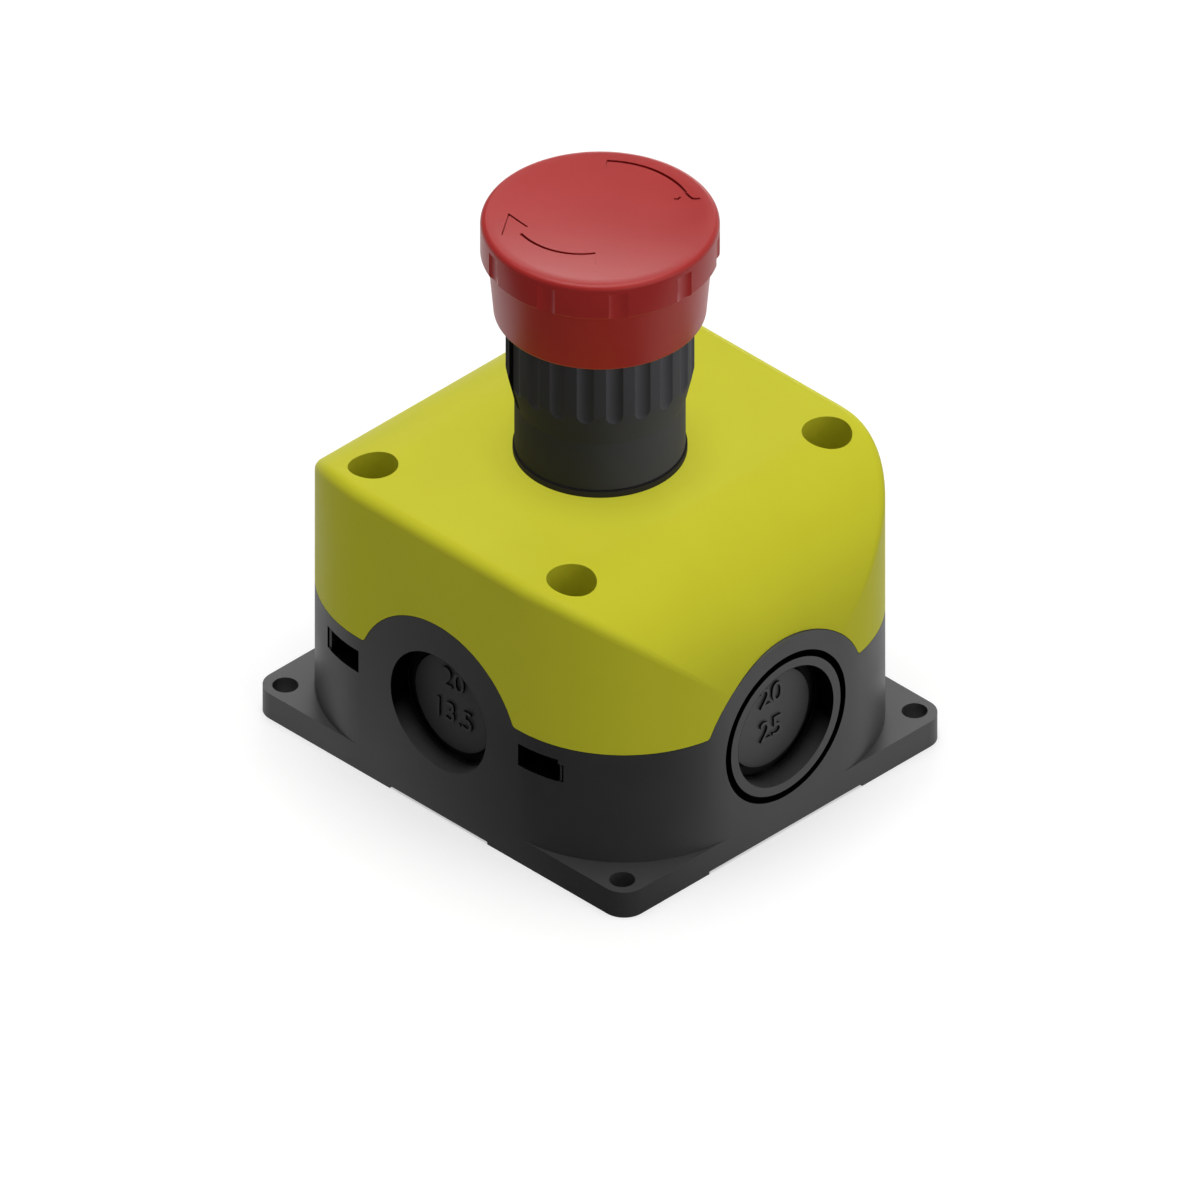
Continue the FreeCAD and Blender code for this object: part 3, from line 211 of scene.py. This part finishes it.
def turned(name, outline, steps=TURN_STEPS):
    """A solid turned about the Z axis from its closed (radius, height, rounding) outline."""
    points = [Vector((point.x, 0, point.y)) * MM for point in rounded(outline)]
    clear_selection()
    bpy.ops.mesh.primitive_plane_add(size=MM)
    piece = bpy.context.object
    piece.name = name
    bpy.ops.object.mode_set(mode="EDIT")
    bpy.ops.mesh.select_mode(type="VERT")
    bpy.ops.mesh.select_all(action="SELECT")
    bpy.ops.mesh.merge(type="CENTER")
    bpy.ops.transform.translate(value=points[0])
    for here, there in zip(points, points[1:]):
        bpy.ops.mesh.extrude_vertices_move(TRANSFORM_OT_translate={"value": there - here})
    bpy.ops.object.mode_set(mode="OBJECT")
    vertices = piece.data.vertices
    for vertex in (vertices[0], vertices[len(vertices) - 1]):
        vertex.select = True
    bpy.ops.object.mode_set(mode="EDIT")
    bpy.ops.mesh.edge_face_add()
    bpy.ops.mesh.select_all(action="SELECT")
    bpy.ops.mesh.spin(steps=steps, angle=2 * math.pi, center=(0, 0, 0), axis=(0, 0, 1))
    bpy.ops.object.mode_set(mode="OBJECT")
    return sealed(piece)


def centred(width):
    return -width / 2, width / 2


def block(name, along_x, along_y, along_z):
    """A box between two places on each axis."""
    spans = (along_x, along_y, along_z)
    clear_selection()
    bpy.ops.mesh.primitive_cube_add(
        size=1,
        location=[(low + high) / 2 * MM for low, high in spans],
        scale=[(high - low) * MM for low, high in spans],
    )
    piece = settle(bpy.context.object)
    piece.name = name
    return piece


def placed_around(piece, count):
    """Copies of a cutter evenly spaced about the Z axis, joined into one."""
    copies = [piece]
    for index in range(1, count):
        copy = piece.copy()
        copy.data = piece.data.copy()
        swing(copy, 360 / count * index)
        bpy.context.scene.collection.objects.link(copy)
        copies.append(copy)
    return together(piece.name, copies)


# Steps that materials are made of
def set_inputs(tree, node, inputs):
    """Gives a node's inputs their numbers and colours, or links other nodes' outputs to them."""
    for name, value in inputs.items():
        if isinstance(value, bpy.types.NodeSocket):
            tree.links.new(value, node.inputs[name])
        else:
            node.inputs[name].default_value = value


def added(tree, kind, inputs=None, **settings):
    """A new shader node of the kind, with its settings and inputs."""
    node = tree.nodes.new(f"ShaderNode{kind}")
    for name, value in settings.items():
        setattr(node, name, value)
    set_inputs(tree, node, inputs or {})
    return node


def grey(level):
    return (level, level, level, 1)


def maths(tree, operation, *values):
    """The result of a sum over numbers or other nodes' outputs."""
    return added(tree, "Math", dict(enumerate(values)), operation=operation).outputs["Value"]


def ramp(tree, value, start, end, low, high, smooth=False):
    """The value's way from start to end, turned into a way from low to high."""
    inputs = {"Value": value, "From Min": start, "From Max": end, "To Min": low, "To Max": high}
    course = "SMOOTHSTEP" if smooth else "LINEAR"
    return added(tree, "MapRange", inputs, interpolation_type=course).outputs["Result"]


def axes(tree, place):
    return added(tree, "SeparateXYZ", {"Vector": place}).outputs


def along(tree, place, direction):
    """How far a place lies in a direction."""
    return added(tree, "VectorMath", {0: place, 1: direction}, operation="DOT_PRODUCT").outputs["Value"]


def within(tree, value, low, high):
    """1 where the value lies between two lengths, and 0 elsewhere."""
    return maths(tree, "COMPARE", value, (low + high) / 2 * MM, (high - low) / 2 * MM)


def openness(tree, reach):
    """How open the surface lies, from 0 deep in a recess to 1, as seen over a short reach."""
    inputs = {"Distance": reach * MM}
    return added(tree, "AmbientOcclusion", inputs, only_local=True, samples=8).outputs["AO"]


def by_ray(tree, plain, seen, mirrored):
    """One look for light on the object, one for the camera and one for the object's gloss."""
    rays = added(tree, "LightPath").outputs
    in_view = maths(tree, "MAXIMUM", rays["Is Camera Ray"], rays["Is Transmission Ray"])
    in_gloss = rays["Is Glossy Ray"]
    open_view = added(tree, "MixShader", {"Fac": in_view, 1: plain, 2: seen}).outputs["Shader"]
    return added(tree, "MixShader", {"Fac": in_gloss, 1: open_view, 2: mirrored}).outputs["Shader"]


# Painted shade: the share of a finish's colour and gloss that is left at each place, less where shade falls.
# Their limits lie some hundredths or tenths of a millimetre past the edges that they follow.
def housing_recess_shade(tree, place):
    """Painted shade: above the ears the recesses are painted dark, and slots, rings and the entries' upper
    walls black, where shade falls.
    """
    spot = axes(tree, place)
    height = spot["Z"]
    lit = ramp(tree, openness(tree, reach=4), start=0.45, end=0.82, low=0.03, high=1)
    at_ears = ramp(tree, height, start=9 * MM, end=10.5 * MM, low=1, high=0)
    share = maths(tree, "MAXIMUM", lit, at_ears)
    rise = maths(tree, "SUBTRACT", height, ENTRY_HEIGHT * MM)
    upper = ramp(tree, height, start=13 * MM, end=18 * MM, low=0, high=1)
    beside_entry = within(tree, maths(tree, "ABSOLUTE", spot["X"]), SLOT_START, SLOT_END)
    black = maths(tree, "MULTIPLY", beside_entry, within(tree, height, SLOT_LOW, SLOT_HIGH))
    for outward, across, face in (("X", "Y", HALF_LENGTH), ("Y", "X", HALF_WIDTH)):
        out = maths(tree, "ABSOLUTE", spot[outward])
        squares = maths(tree, "MULTIPLY", spot[across], spot[across])
        distance = maths(tree, "POWER", maths(tree, "MULTIPLY_ADD", rise, rise, squares), 0.5)
        in_entry = maths(tree, "GREATER_THAN", out, (face - ENTRY_DEPTH - 0.1) * MM)
        at_wall = within(tree, distance, ENTRY_RADIUS - 0.25, ENTRY_RADIUS + 0.05)
        wall = maths(tree, "MULTIPLY", at_wall, in_entry)
        black = maths(tree, "MULTIPLY_ADD", wall, upper, black)
        if outward == "X":
            in_ring = maths(tree, "GREATER_THAN", out, (face - ENTRY_RING_DEPTH - 0.1) * MM)
            ring = within(tree, distance, ENTRY_RING_INNER - 0.03, ENTRY_RING_OUTER + 0.03)
            black = maths(tree, "MULTIPLY_ADD", ring, in_ring, black)
    left = maths(tree, "SUBTRACT", 1, maths(tree, "MINIMUM", black, 0.97))
    return maths(tree, "MULTIPLY", share, left)


def number_side_shade(tree, place):
    """Painted shade: the raised numbers' sides are painted dark; their faces are as the housing is."""
    spot = axes(tree, place)
    outward = [
        maths(tree, "SUBTRACT", maths(tree, "ABSOLUTE", spot[axis]), side * MM)
        for axis, side in (("X", HALF_LENGTH), ("Y", HALF_WIDTH))
    ]
    face = NUMBER_RISE - ENTRY_DEPTH
    nearest = maths(tree, "MAXIMUM", *outward)
    return ramp(tree, nearest, start=(face - 0.15) * MM, end=(face - 0.02) * MM, low=0.05, high=1)


def engraved_line_shade(tree, place):
    """Painted shade: the arrows' grooves, and the cap's other narrow hollows, are painted darker than its
    top.
    """
    return ramp(tree, openness(tree, reach=1.5), start=0.3, end=0.62, low=0.55, high=1)


def notch_shade(tree, place):
    """Painted shade: the notch's floor is painted nearly black; it lies farther out than the neck's round
    part.
    """
    outward, across = (
        along(tree, place, Matrix.Rotation(math.radians(NOTCH_TURN + turn), 3, "Z").col[0])
        for turn in (0, 90)
    )
    beyond = maths(tree, "GREATER_THAN", outward, (NECK_RADIUS + 0.08) * MM)
    beside = maths(tree, "COMPARE", across, 0, (NOTCH_WIDTH / 2 + 0.02) * MM)
    return maths(tree, "MULTIPLY_ADD", maths(tree, "MULTIPLY", beyond, beside), -0.9, 1)


def gasket_edge_shadow(tree, place):
    """Painted shadow: the gasket's upper edge is painted darker, as if in the neck's shadow."""
    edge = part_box("panel_gasket")[1].z
    height = axes(tree, place)["Z"]
    return ramp(tree, height, start=edge - 0.22 * MM, end=edge - 0.12 * MM, low=1, high=0.3)


# Finishes of plastic, rubber and metal
def finish(
    name, colour, roughness, grain=0.2, bump=0.05, variation=0.06, specular=0.5, metallic=0, shade=None
):
    """A material with a fine surface grain, and patches that differ a little in gloss and colour; a given
    shade paints shade into its colour and gloss.
    """
    material = bpy.data.materials.new(name)
    material.use_nodes = True
    tree = material.node_tree
    place = added(tree, "TexCoord").outputs["Object"]
    fine = added(tree, "TexNoise", {"Vector": place, "Scale": 1 / (grain * MM), "Detail": 4}).outputs["Fac"]
    broad = added(tree, "TexNoise", {"Vector": place, "Scale": PATCHES_PER_METRE, "Detail": 5}).outputs["Fac"]
    relief = added(tree, "Bump", {"Height": fine, "Strength": bump, "Distance": grain * MM / 4})
    gloss = ramp(tree, broad, start=0.3, end=0.7, low=roughness - 0.05, high=roughness + 0.05)
    tint = added(tree, "ValToRGB", {"Fac": broad})
    for end, position, change in zip(tint.color_ramp.elements, (0.3, 0.7), (1 - variation, 1 + variation)):
        end.position = position
        end.color = [part * change for part in colour] + [1]
    shader = tree.nodes["Principled BSDF"]
    look = {
        "Base Color": tint.outputs["Color"],
        "Metallic": metallic,
        "Roughness": gloss,
        "Specular IOR Level": specular,
        "Normal": relief.outputs["Normal"],
    }
    set_inputs(tree, shader, look)
    # Painted shade: the shade's share darkens the colour and lowers the gloss.
    if shade:
        share = shade(tree, place)
        darker = added(tree, "VectorMath", {"Vector": look["Base Color"], "Scale": share}, operation="SCALE")
        set_inputs(tree, shader, {"Base Color": darker.outputs["Vector"]})
        set_inputs(tree, shader, {"Specular IOR Level": maths(tree, "MULTIPLY", share, specular)})
    return material


METAL = dict(grain=0.3, variation=0.04, metallic=1)
# A look's shade paints shade into its colour and gloss: in the housing's recesses, the numbers' sides, the
# cap's grooves, the neck's notch and the gasket's edge.
LOOKS = {
    "black_housing": dict(colour=(0.034, 0.034, 0.034), roughness=0.5, bump=0.08, shade=housing_recess_shade),
    "yellow_cover": dict(colour=(0.605, 0.592, 0.03), roughness=0.45, variation=0.02, specular=0.05),
    "red_cap": dict(
        colour=(0.41, 0.021, 0.019),
        roughness=0.34,
        bump=0.04,
        variation=0.03,
        specular=0.26,
        shade=engraved_line_shade,
    ),
    "black_neck": dict(colour=(0.035, 0.035, 0.04), roughness=0.6, specular=0.05, shade=notch_shade),
    "black_rubber": dict(
        colour=(0.022, 0.02, 0.02),
        roughness=0.7,
        grain=0.25,
        bump=0.15,
        specular=0.2,
        shade=gasket_edge_shadow,
    ),
    "stem_plastic": dict(colour=(0.06, 0.06, 0.065), roughness=0.4, grain=0.15),
    "white_plastic": dict(colour=(0.7, 0.69, 0.64), roughness=0.45, grain=0.15),
    "contact_plastic": dict(colour=(0.12, 0.13, 0.14), roughness=0.5, grain=0.15),
    "steel": dict(colour=(0.55, 0.56, 0.56), roughness=0.32, **METAL),
    "spring_steel": dict(colour=(0.5, 0.5, 0.52), roughness=0.28, **METAL),
    "brass": dict(colour=(0.72, 0.52, 0.2), roughness=0.3, **METAL),
    "silver": dict(colour=(0.8, 0.8, 0.78), roughness=0.2, **METAL),
    "raised_numbers": dict(colour=(0.036, 0.036, 0.036), roughness=0.5, shade=number_side_shade),
}
FINISHES = {name: finish(name, **look) for name, look in LOOKS.items()}
for subpart in frame["record"]["subparts"]:
    node = frame["nodes"][subpart["node"]]
    node.data.materials.clear()
    node.data.materials.append(FINISHES[subpart["material_slot"]])


# Numbers on the knock-out discs
def raised_numbers(name, lines, face, turn):
    """Two lines of raised numbers on the disc of one cable entry; face is how far out its side stands."""
    rows = []
    for line, level in zip(lines, NUMBER_LEVELS):
        clear_selection()
        bpy.ops.object.text_add()
        row = bpy.context.object
        row.data.body = line
        row.data.size = NUMBER_SIZE * MM
        row.data.align_x = "CENTER"
        row.data.align_y = "CENTER"
        row.data.extrude = (NUMBER_RISE + NUMBER_FOOT) / 2 * MM
        row.data.resolution_u = 4
        bpy.ops.object.convert(target="MESH")
        move(row, 0, level, 0)
        rows.append(row)
    numbers = sealed(together(name, rows))
    outward = face - ENTRY_DEPTH + (NUMBER_RISE - NUMBER_FOOT) / 2
    swing(numbers, 90, "X")
    move(numbers, 0, -outward, ENTRY_HEIGHT)
    swing(numbers, turn)
    finished(numbers, FINISHES["raised_numbers"], "black_housing", "enclosure")


# Mushroom cap
def grips():
    """Upright round cutters evenly spaced about the band."""
    clear_selection()
    bpy.ops.mesh.primitive_cylinder_add(
        vertices=64,
        radius=GRIP_RADIUS * MM,
        depth=(GRIP_HIGH - GRIP_LOW) * MM,
        location=((BAND_RADIUS - GRIP_DEPTH + GRIP_RADIUS) * MM, 0, (GRIP_LOW + GRIP_HIGH) / 2 * MM),
    )
    return placed_around(settle(bpy.context.object), GRIP_COUNT)


def dish(radius):
    """Height of the dished top at a radius from the axis."""
    return CAP_HIGH - DISH_DEPTH + DISH_DEPTH * (radius / DISH_RADIUS) ** 2


def on_top(right, near):
    """The plan position of a place on the cap, given as the photograph shows it from its middle."""
    return Vector((right + near, right - near)) * math.sqrt(0.5)


def arc_groove(centre, radius, start, end, depth, width):
    """A cutter along an arc whose angles are in degrees, as seen from above; its depth is below the rim."""
    clear_selection()
    bpy.ops.mesh.primitive_plane_add(size=1)
    groove = bpy.context.object
    groove.data.transform(Matrix.Diagonal((width * MM, ARROW_CUTTER * MM, 1, 1)))
    swing(groove, 90, "X")
    move(groove, radius, 0, CAP_HIGH - depth + ARROW_CUTTER / 2)
    swing(groove, start)
    move(groove, *centre, 0)
    bpy.ops.object.mode_set(mode="EDIT")
    bpy.ops.mesh.select_all(action="SELECT")
    bpy.ops.mesh.spin(
        steps=round(abs(end - start) / ARC_STEP),
        angle=math.radians(start - end),
        center=(centre[0] * MM, centre[1] * MM, 0),
        axis=(0, 0, 1),
    )
    bpy.ops.object.mode_set(mode="OBJECT")
    return sealed(groove)


def line_grooves(points, depth, width):
    """A cutter along each straight line from one place on the cap's top to the next."""
    grooves = []
    for start, end in zip(points, points[1:]):
        run = end - start
        middle = (start + end) / 2 * MM
        clear_selection()
        bpy.ops.mesh.primitive_cube_add(
            size=1,
            location=(middle.x, middle.y, (CAP_HIGH - depth + ARROW_CUTTER / 2) * MM),
            rotation=(0, 0, math.atan2(run.y, run.x)),
            scale=((run.length + width) * MM, width * MM, ARROW_CUTTER * MM),
        )
        grooves.append(settle(bpy.context.object))
    return grooves


def turn_arrows():
    """The cutters of the two arrows that show which way the head turns."""
    near_end = [on_top(-0.73, 9.4), on_top(-0.75, 12.5)]
    head = [on_top(-16.3, 4.35), on_top(-15.19, -1.66), on_top(-12.23, 1.51)]
    far_end = [on_top(1.08, -16.6), on_top(1.05, -14.9)]
    hook = [(14.4, -7.5), (15.0, -6.5), (15.45, -6.05), (15.95, -5.9), (16.5, -5.9)]
    mark = [(12.5, -6.25), (12.95, -6.1), (13.3, -6.55)]
    grooves = [
        arc_groove(centre=(-3.81, -1.02), radius=11.28, start=-104.8, end=-31.3, depth=1.1, width=0.56),
        *line_grooves(near_end, depth=0.7, width=0.08),
        *line_grooves(head[:2], depth=0.7, width=0.27),
        *line_grooves(head[1:], depth=0.9, width=0.38),
        arc_groove(centre=(-0.9, 1.35), radius=15.33, start=131.9, end=69.0, depth=0.8, width=0.5),
        *line_grooves(far_end, depth=0.5, width=0.14),
        *line_grooves([on_top(*place) for place in hook], depth=0.8, width=0.42),
        *line_grooves([on_top(*place) for place in mark], depth=0.8, width=0.36),
    ]
    return together("arrows", grooves)


def mushroom_cap():
    dish_radii = [DISH_RADIUS * step / DISH_STEPS for step in range(DISH_STEPS, -1, -1)]
    outline = [
        (CAP_BORE, CAP_LOW, 0.2),
        (SKIRT_FOOT_RADIUS, CAP_LOW, 0.6),
        (SKIRT_TOP_RADIUS, BAND_LOW, 0.25),
        (BAND_RADIUS, BAND_LOW, 0.3),
        (BAND_RADIUS, CAP_HIGH, RIM_ROUNDING),
        *((radius, dish(radius)) for radius in dish_radii),
        (0, CAP_CEILING),
        (CAP_BORE, CAP_CEILING),
    ]
    cap = turned("mushroom_cap", outline)
    combine(cap, grips(), "DIFFERENCE")
    combine(cap, turn_arrows(), "DIFFERENCE", crossing=True)
    smooth(cap, 25)
    return finished(cap, FINISHES["red_cap"], "red_cap", "head", "push_cap")


# Neck
def flutes(seat, top):
    """Upright round cutters about the flare, with round lower ends."""
    outline = [
        (0, seat + FLUTE_FOOT),
        (FLUTE_RADIUS, seat + FLUTE_FOOT, FLUTE_RADIUS - 0.01),
        (FLUTE_RADIUS, top + PAST),
        (0, top + PAST),
    ]
    flute = turned("flutes", outline, CUTTER_STEPS)
    move(flute, FLARE_RADIUS - FLUTE_DEPTH + FLUTE_RADIUS, 0, 0)
    return placed_around(flute, FLUTE_COUNT)


def flare_notch(seat, top):
    radii = (NOTCH_RADIUS, FLARE_RADIUS + PAST)
    notch = block("notch", radii, centred(NOTCH_WIDTH), (seat + NOTCH_FOOT, top + PAST))
    swing(notch, NOTCH_TURN)
    return notch


def keyway(seat):
    return block("keyway", centred(KEYWAY_WIDTH), (0, KEYWAY_RADIUS), (seat + KEYWAY_LOW, seat + KEYWAY_HIGH))


def flat(foot, seat):
    depths = (-SHANK_RADIUS - PAST, -FLAT_RADIUS)
    return block("flat", centred(FLAT_WIDTH), depths, (foot - PAST, seat + FLAT_HIGH))


def latch_bore(level):
    """The bore of both latch pins, across the shank."""
    clear_selection()
    bpy.ops.mesh.primitive_cylinder_add(
        vertices=CUTTER_STEPS,
        radius=LATCH_BORE_RADIUS * MM,
        depth=2 * (SHANK_RADIUS + PAST) * MM,
        location=(0, 0, level * MM),
        rotation=(0, math.pi / 2, 0),
    )
    return settle(bpy.context.object)


def latch_groove(level):
    """The groove of the latch ring, round the shank."""
    low, high = level - LATCH_GROOVE_WIDTH / 2, level + LATCH_GROOVE_WIDTH / 2
    inner, outer = LATCH_GROOVE_RADIUS, SHANK_RADIUS + PAST
    corners = ((inner, low), (outer, low), (outer, high), (inner, high))
    return turned("groove", [(radius, height, 0.1) for radius, height in corners], 2 * CUTTER_STEPS)


def fluted_neck():
    foot, top = (corner.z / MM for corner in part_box("collar"))
    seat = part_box("panel_gasket")[1].z / MM
    outline = [
        (STEM_BORE, foot),
        (SHANK_RADIUS, foot, 0.4),
        (SHANK_RADIUS, seat),
        (NECK_RADIUS, seat, 0.25),
        (NECK_RADIUS, seat + FLARE_START, 0.8),
        (FLARE_RADIUS, seat + FLARE_END, 0.8),
        (FLARE_RADIUS, top, 0.3),
        (CHAMBER_RADIUS, top, 0.3),
        (CHAMBER_RADIUS, seat + CHAMBER_FLOOR),
        (SEAL_RADIUS, seat + CHAMBER_FLOOR),
        (SEAL_RADIUS, seat + SEAL_FLOOR),
        (STEM_BORE, seat + SEAL_FLOOR),
    ]
    neck = turned("fluted_neck", outline)
    cutters = [flutes(seat, top), flare_notch(seat, top), keyway(seat), flat(foot, seat)]
    cutters += [latch_bore(foot + LATCH_LEVEL), latch_groove(foot + LATCH_LEVEL)]
    for cutter in cutters:
        combine(neck, cutter, "DIFFERENCE")
    nose = block("nose", centred(NOSE_WIDTH), (NOSE_START, NOSE_RADIUS), (seat + NOSE_LOW, seat + PAST))
    combine(neck, nose, "UNION")
    smooth(neck, 25)
    return finished(neck, FINISHES["black_neck"], "black_neck", "enclosure", "collar")


def neck_gasket():
    low, high = (corner.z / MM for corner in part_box("panel_gasket"))
    outline = [(GASKET_BORE, low), (GASKET_RADIUS, low, 0.1), (GASKET_RADIUS, high, 0.3), (GASKET_BORE, high)]
    ring = turned("neck_gasket", outline)
    smooth(ring, 35)
    return finished(ring, FINISHES["black_rubber"], "black_rubber", "enclosure", "panel_gasket")


# Springs
def coil_spring(node, diameter, wire, turns):
    """A helical spring in the place of its CAD node, with its foot at the node's lower end."""
    low, high = (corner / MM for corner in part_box(node))
    middle = (low + high) / 2
    length = high.z - low.z
    clear_selection()
    bpy.ops.mesh.primitive_circle_add(
        vertices=16,
        radius=wire / 2 * MM,
        location=(diameter / 2 * MM, 0, 0),
        rotation=(math.pi / 2, 0, 0),
    )
    spring = settle(bpy.context.object)
    spring.name = f"{node}_coil"
    winding = spring.modifiers.new("Winding", "SCREW")
    winding.axis = "Z"
    winding.angle = 2 * math.pi * turns
    winding.screw_offset = (length - wire - 2 * SPRING_GAP) * MM
    winding.steps = 36 * turns
    winding.use_merge_vertices = False
    take(spring)
    bpy.ops.object.modifier_apply(modifier=winding.name)
    bpy.ops.object.mode_set(mode="EDIT")
    bpy.ops.mesh.select_all(action="SELECT")
    bpy.ops.mesh.fill_holes(sides=0)
    bpy.ops.object.mode_set(mode="OBJECT")
    sealed(spring)
    move(spring, middle.x, middle.y, low.z + wire / 2 + SPRING_GAP)
    smooth(spring, 40)
    finished(spring, FINISHES["spring_steel"], "spring_steel", "enclosure", node)
    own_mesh(spring)


# Surroundings
def pale_floor():
    """White to the camera; to the object's own gloss it darkens towards the front."""
    clear_selection()
    bpy.ops.mesh.primitive_circle_add(
        vertices=128,
        radius=FLOOR_RADIUS * MM,
        fill_type="NGON",
        location=(0, 0, -FLOOR_DROP * MM),
    )
    floor = settle(bpy.context.object)
    floor.name = "floor"
    material = bpy.data.materials.new("pale_floor")
    material.use_nodes = True
    tree = material.node_tree
    tree.nodes.remove(tree.nodes["Principled BSDF"])
    paper = added(tree, "BsdfDiffuse", {"Color": grey(0.5)}).outputs["BSDF"]
    bright = added(tree, "BsdfDiffuse", {"Color": grey(0.6)}).outputs["BSDF"]
    glow = added(tree, "Emission", {"Strength": 0.5}).outputs["Emission"]
    white = added(tree, "AddShader", {0: bright, 1: glow}).outputs["Shader"]
    front = (0.45, -0.89, 0)
    forward = along(tree, added(tree, "TexCoord").outputs["Object"], front)
    share = ramp(tree, forward, start=20 * MM, end=55 * MM, low=0.9, high=0, smooth=True)
    mirrored = added(tree, "MixShader", {"Fac": share, 2: white}).outputs["Shader"]
    look = by_ray(tree, plain=paper, seen=white, mirrored=mirrored)
    set_inputs(tree, tree.nodes["Material Output"], {"Surface": look})
    floor.data.materials.append(material)


def lamp(name, strength, softness, towards, passed, lit=None):
    """A broad distant light from the given direction.

    The passed pieces cast no shadow in it, and where lit is given it falls on those pieces alone.
    """
    light = bpy.data.lights.new(name, "SUN")
    light.energy = strength
    light.angle = math.radians(softness)
    holder = bpy.data.objects.new(name, light)
    holder.rotation_euler = Vector(towards).to_track_quat("Z", "Y").to_euler()
    bpy.context.scene.collection.objects.link(holder)
    holder.light_linking.blocker_collection = passed
    holder.light_linking.receiver_collection = lit


def grouped(name, pieces):
    group = bpy.data.collections.new(name)
    for piece in pieces:
        group.objects.link(piece)
    return group


def studio(passed, neck):
    """Even light from all round, broad lamps from above, the right and behind, and one on the neck."""
    world = bpy.data.worlds.new("studio")
    bpy.context.scene.world = world
    world.use_nodes = True
    tree = world.node_tree
    dim = tree.nodes["Background"]
    set_inputs(tree, dim, {"Color": grey(1), "Strength": 0.17})
    white = added(tree, "Background", {"Color": grey(1), "Strength": 1})
    direction = axes(tree, added(tree, "TexCoord").outputs["Generated"])
    low_sky = ramp(tree, direction["Z"], start=0.34, end=0.58, low=1, high=0.6, smooth=True)
    high_sky = ramp(tree, direction["Z"], start=0.6, end=0.76, low=0, high=1.2, smooth=True)
    rightwards = maths(tree, "ADD", direction["X"], direction["Y"])
    side = ramp(tree, rightwards, start=-0.22, end=0.12, low=0.4, high=1, smooth=True)
    brightness = maths(tree, "MULTIPLY_ADD", low_sky, side, high_sky)
    sky = added(tree, "Background", {"Color": grey(1), "Strength": brightness})
    plain, seen, mirrored = (node.outputs["Background"] for node in (dim, white, sky))
    set_inputs(tree, tree.nodes["World Output"], {"Surface": by_ray(tree, plain, seen, mirrored)})
    shadows = grouped("shadows", passed)
    for member in shadows.collection_objects:
        member.light_linking.link_state = "EXCLUDE"
    neck_alone = grouped("neck_alone", [neck])
    lamp("key", strength=2.1, softness=50, towards=(-0.05, 0.02, 1), passed=shadows)
    lamp("side", strength=0.65, softness=60, towards=(1, 0.1, 0.35), passed=shadows)
    lamp("rim", strength=0.5, softness=24, towards=(-0.62, 0.72, 0.26), passed=shadows)
    lamp("neck_side", strength=2.8, softness=30, towards=(0.82, 0.57, 0.15), passed=shadows, lit=neck_alone)


def photo_camera():
    """The photograph's view, which is an exact isometric one."""
    camera = bpy.data.cameras.new("photo_camera")
    camera.type = "ORTHO"
    camera.ortho_scale = VIEW_WIDTH * MM
    holder = bpy.data.objects.new("photo_camera", camera)
    holder.rotation_euler = (math.atan(math.sqrt(2)), 0, math.pi / 4)
    middle = Vector((0, 0, VIEW_HEIGHT * MM))
    holder.location = middle + Vector((1, -1, 1)).normalized() * CAMERA_DISTANCE * MM
    bpy.context.scene.collection.objects.link(holder)
    bpy.context.scene.camera = holder


# The whole switch
cap = mushroom_cap()
neck = fluted_neck()
gasket = neck_gasket()
for side, face, turn in (("front", HALF_WIDTH, 0), ("back", HALF_WIDTH, 180)):
    raised_numbers(f"entry_numbers_{side}", ("20", "13.5"), face, turn)
for side, face, turn in (("right", HALF_LENGTH, 90), ("left", HALF_LENGTH, -90)):
    raised_numbers(f"entry_numbers_{side}", ("20", "25"), face, turn)
coil_spring("return_spring", diameter=19, wire=1.6, turns=5)
for hand in ("left", "right"):
    coil_spring(f"{hand}_contact_spring", diameter=4.2, wire=0.5, turns=4)
pale_floor()
under_cap = [frame["nodes"][node] for node in ("cap_hub", "twist_spring", "hub_clip", "stem", "stem_seal")]
studio([cap, neck, gasket] + under_cap, neck)
photo_camera()
bpy.context.scene.view_settings.view_transform = "Standard"
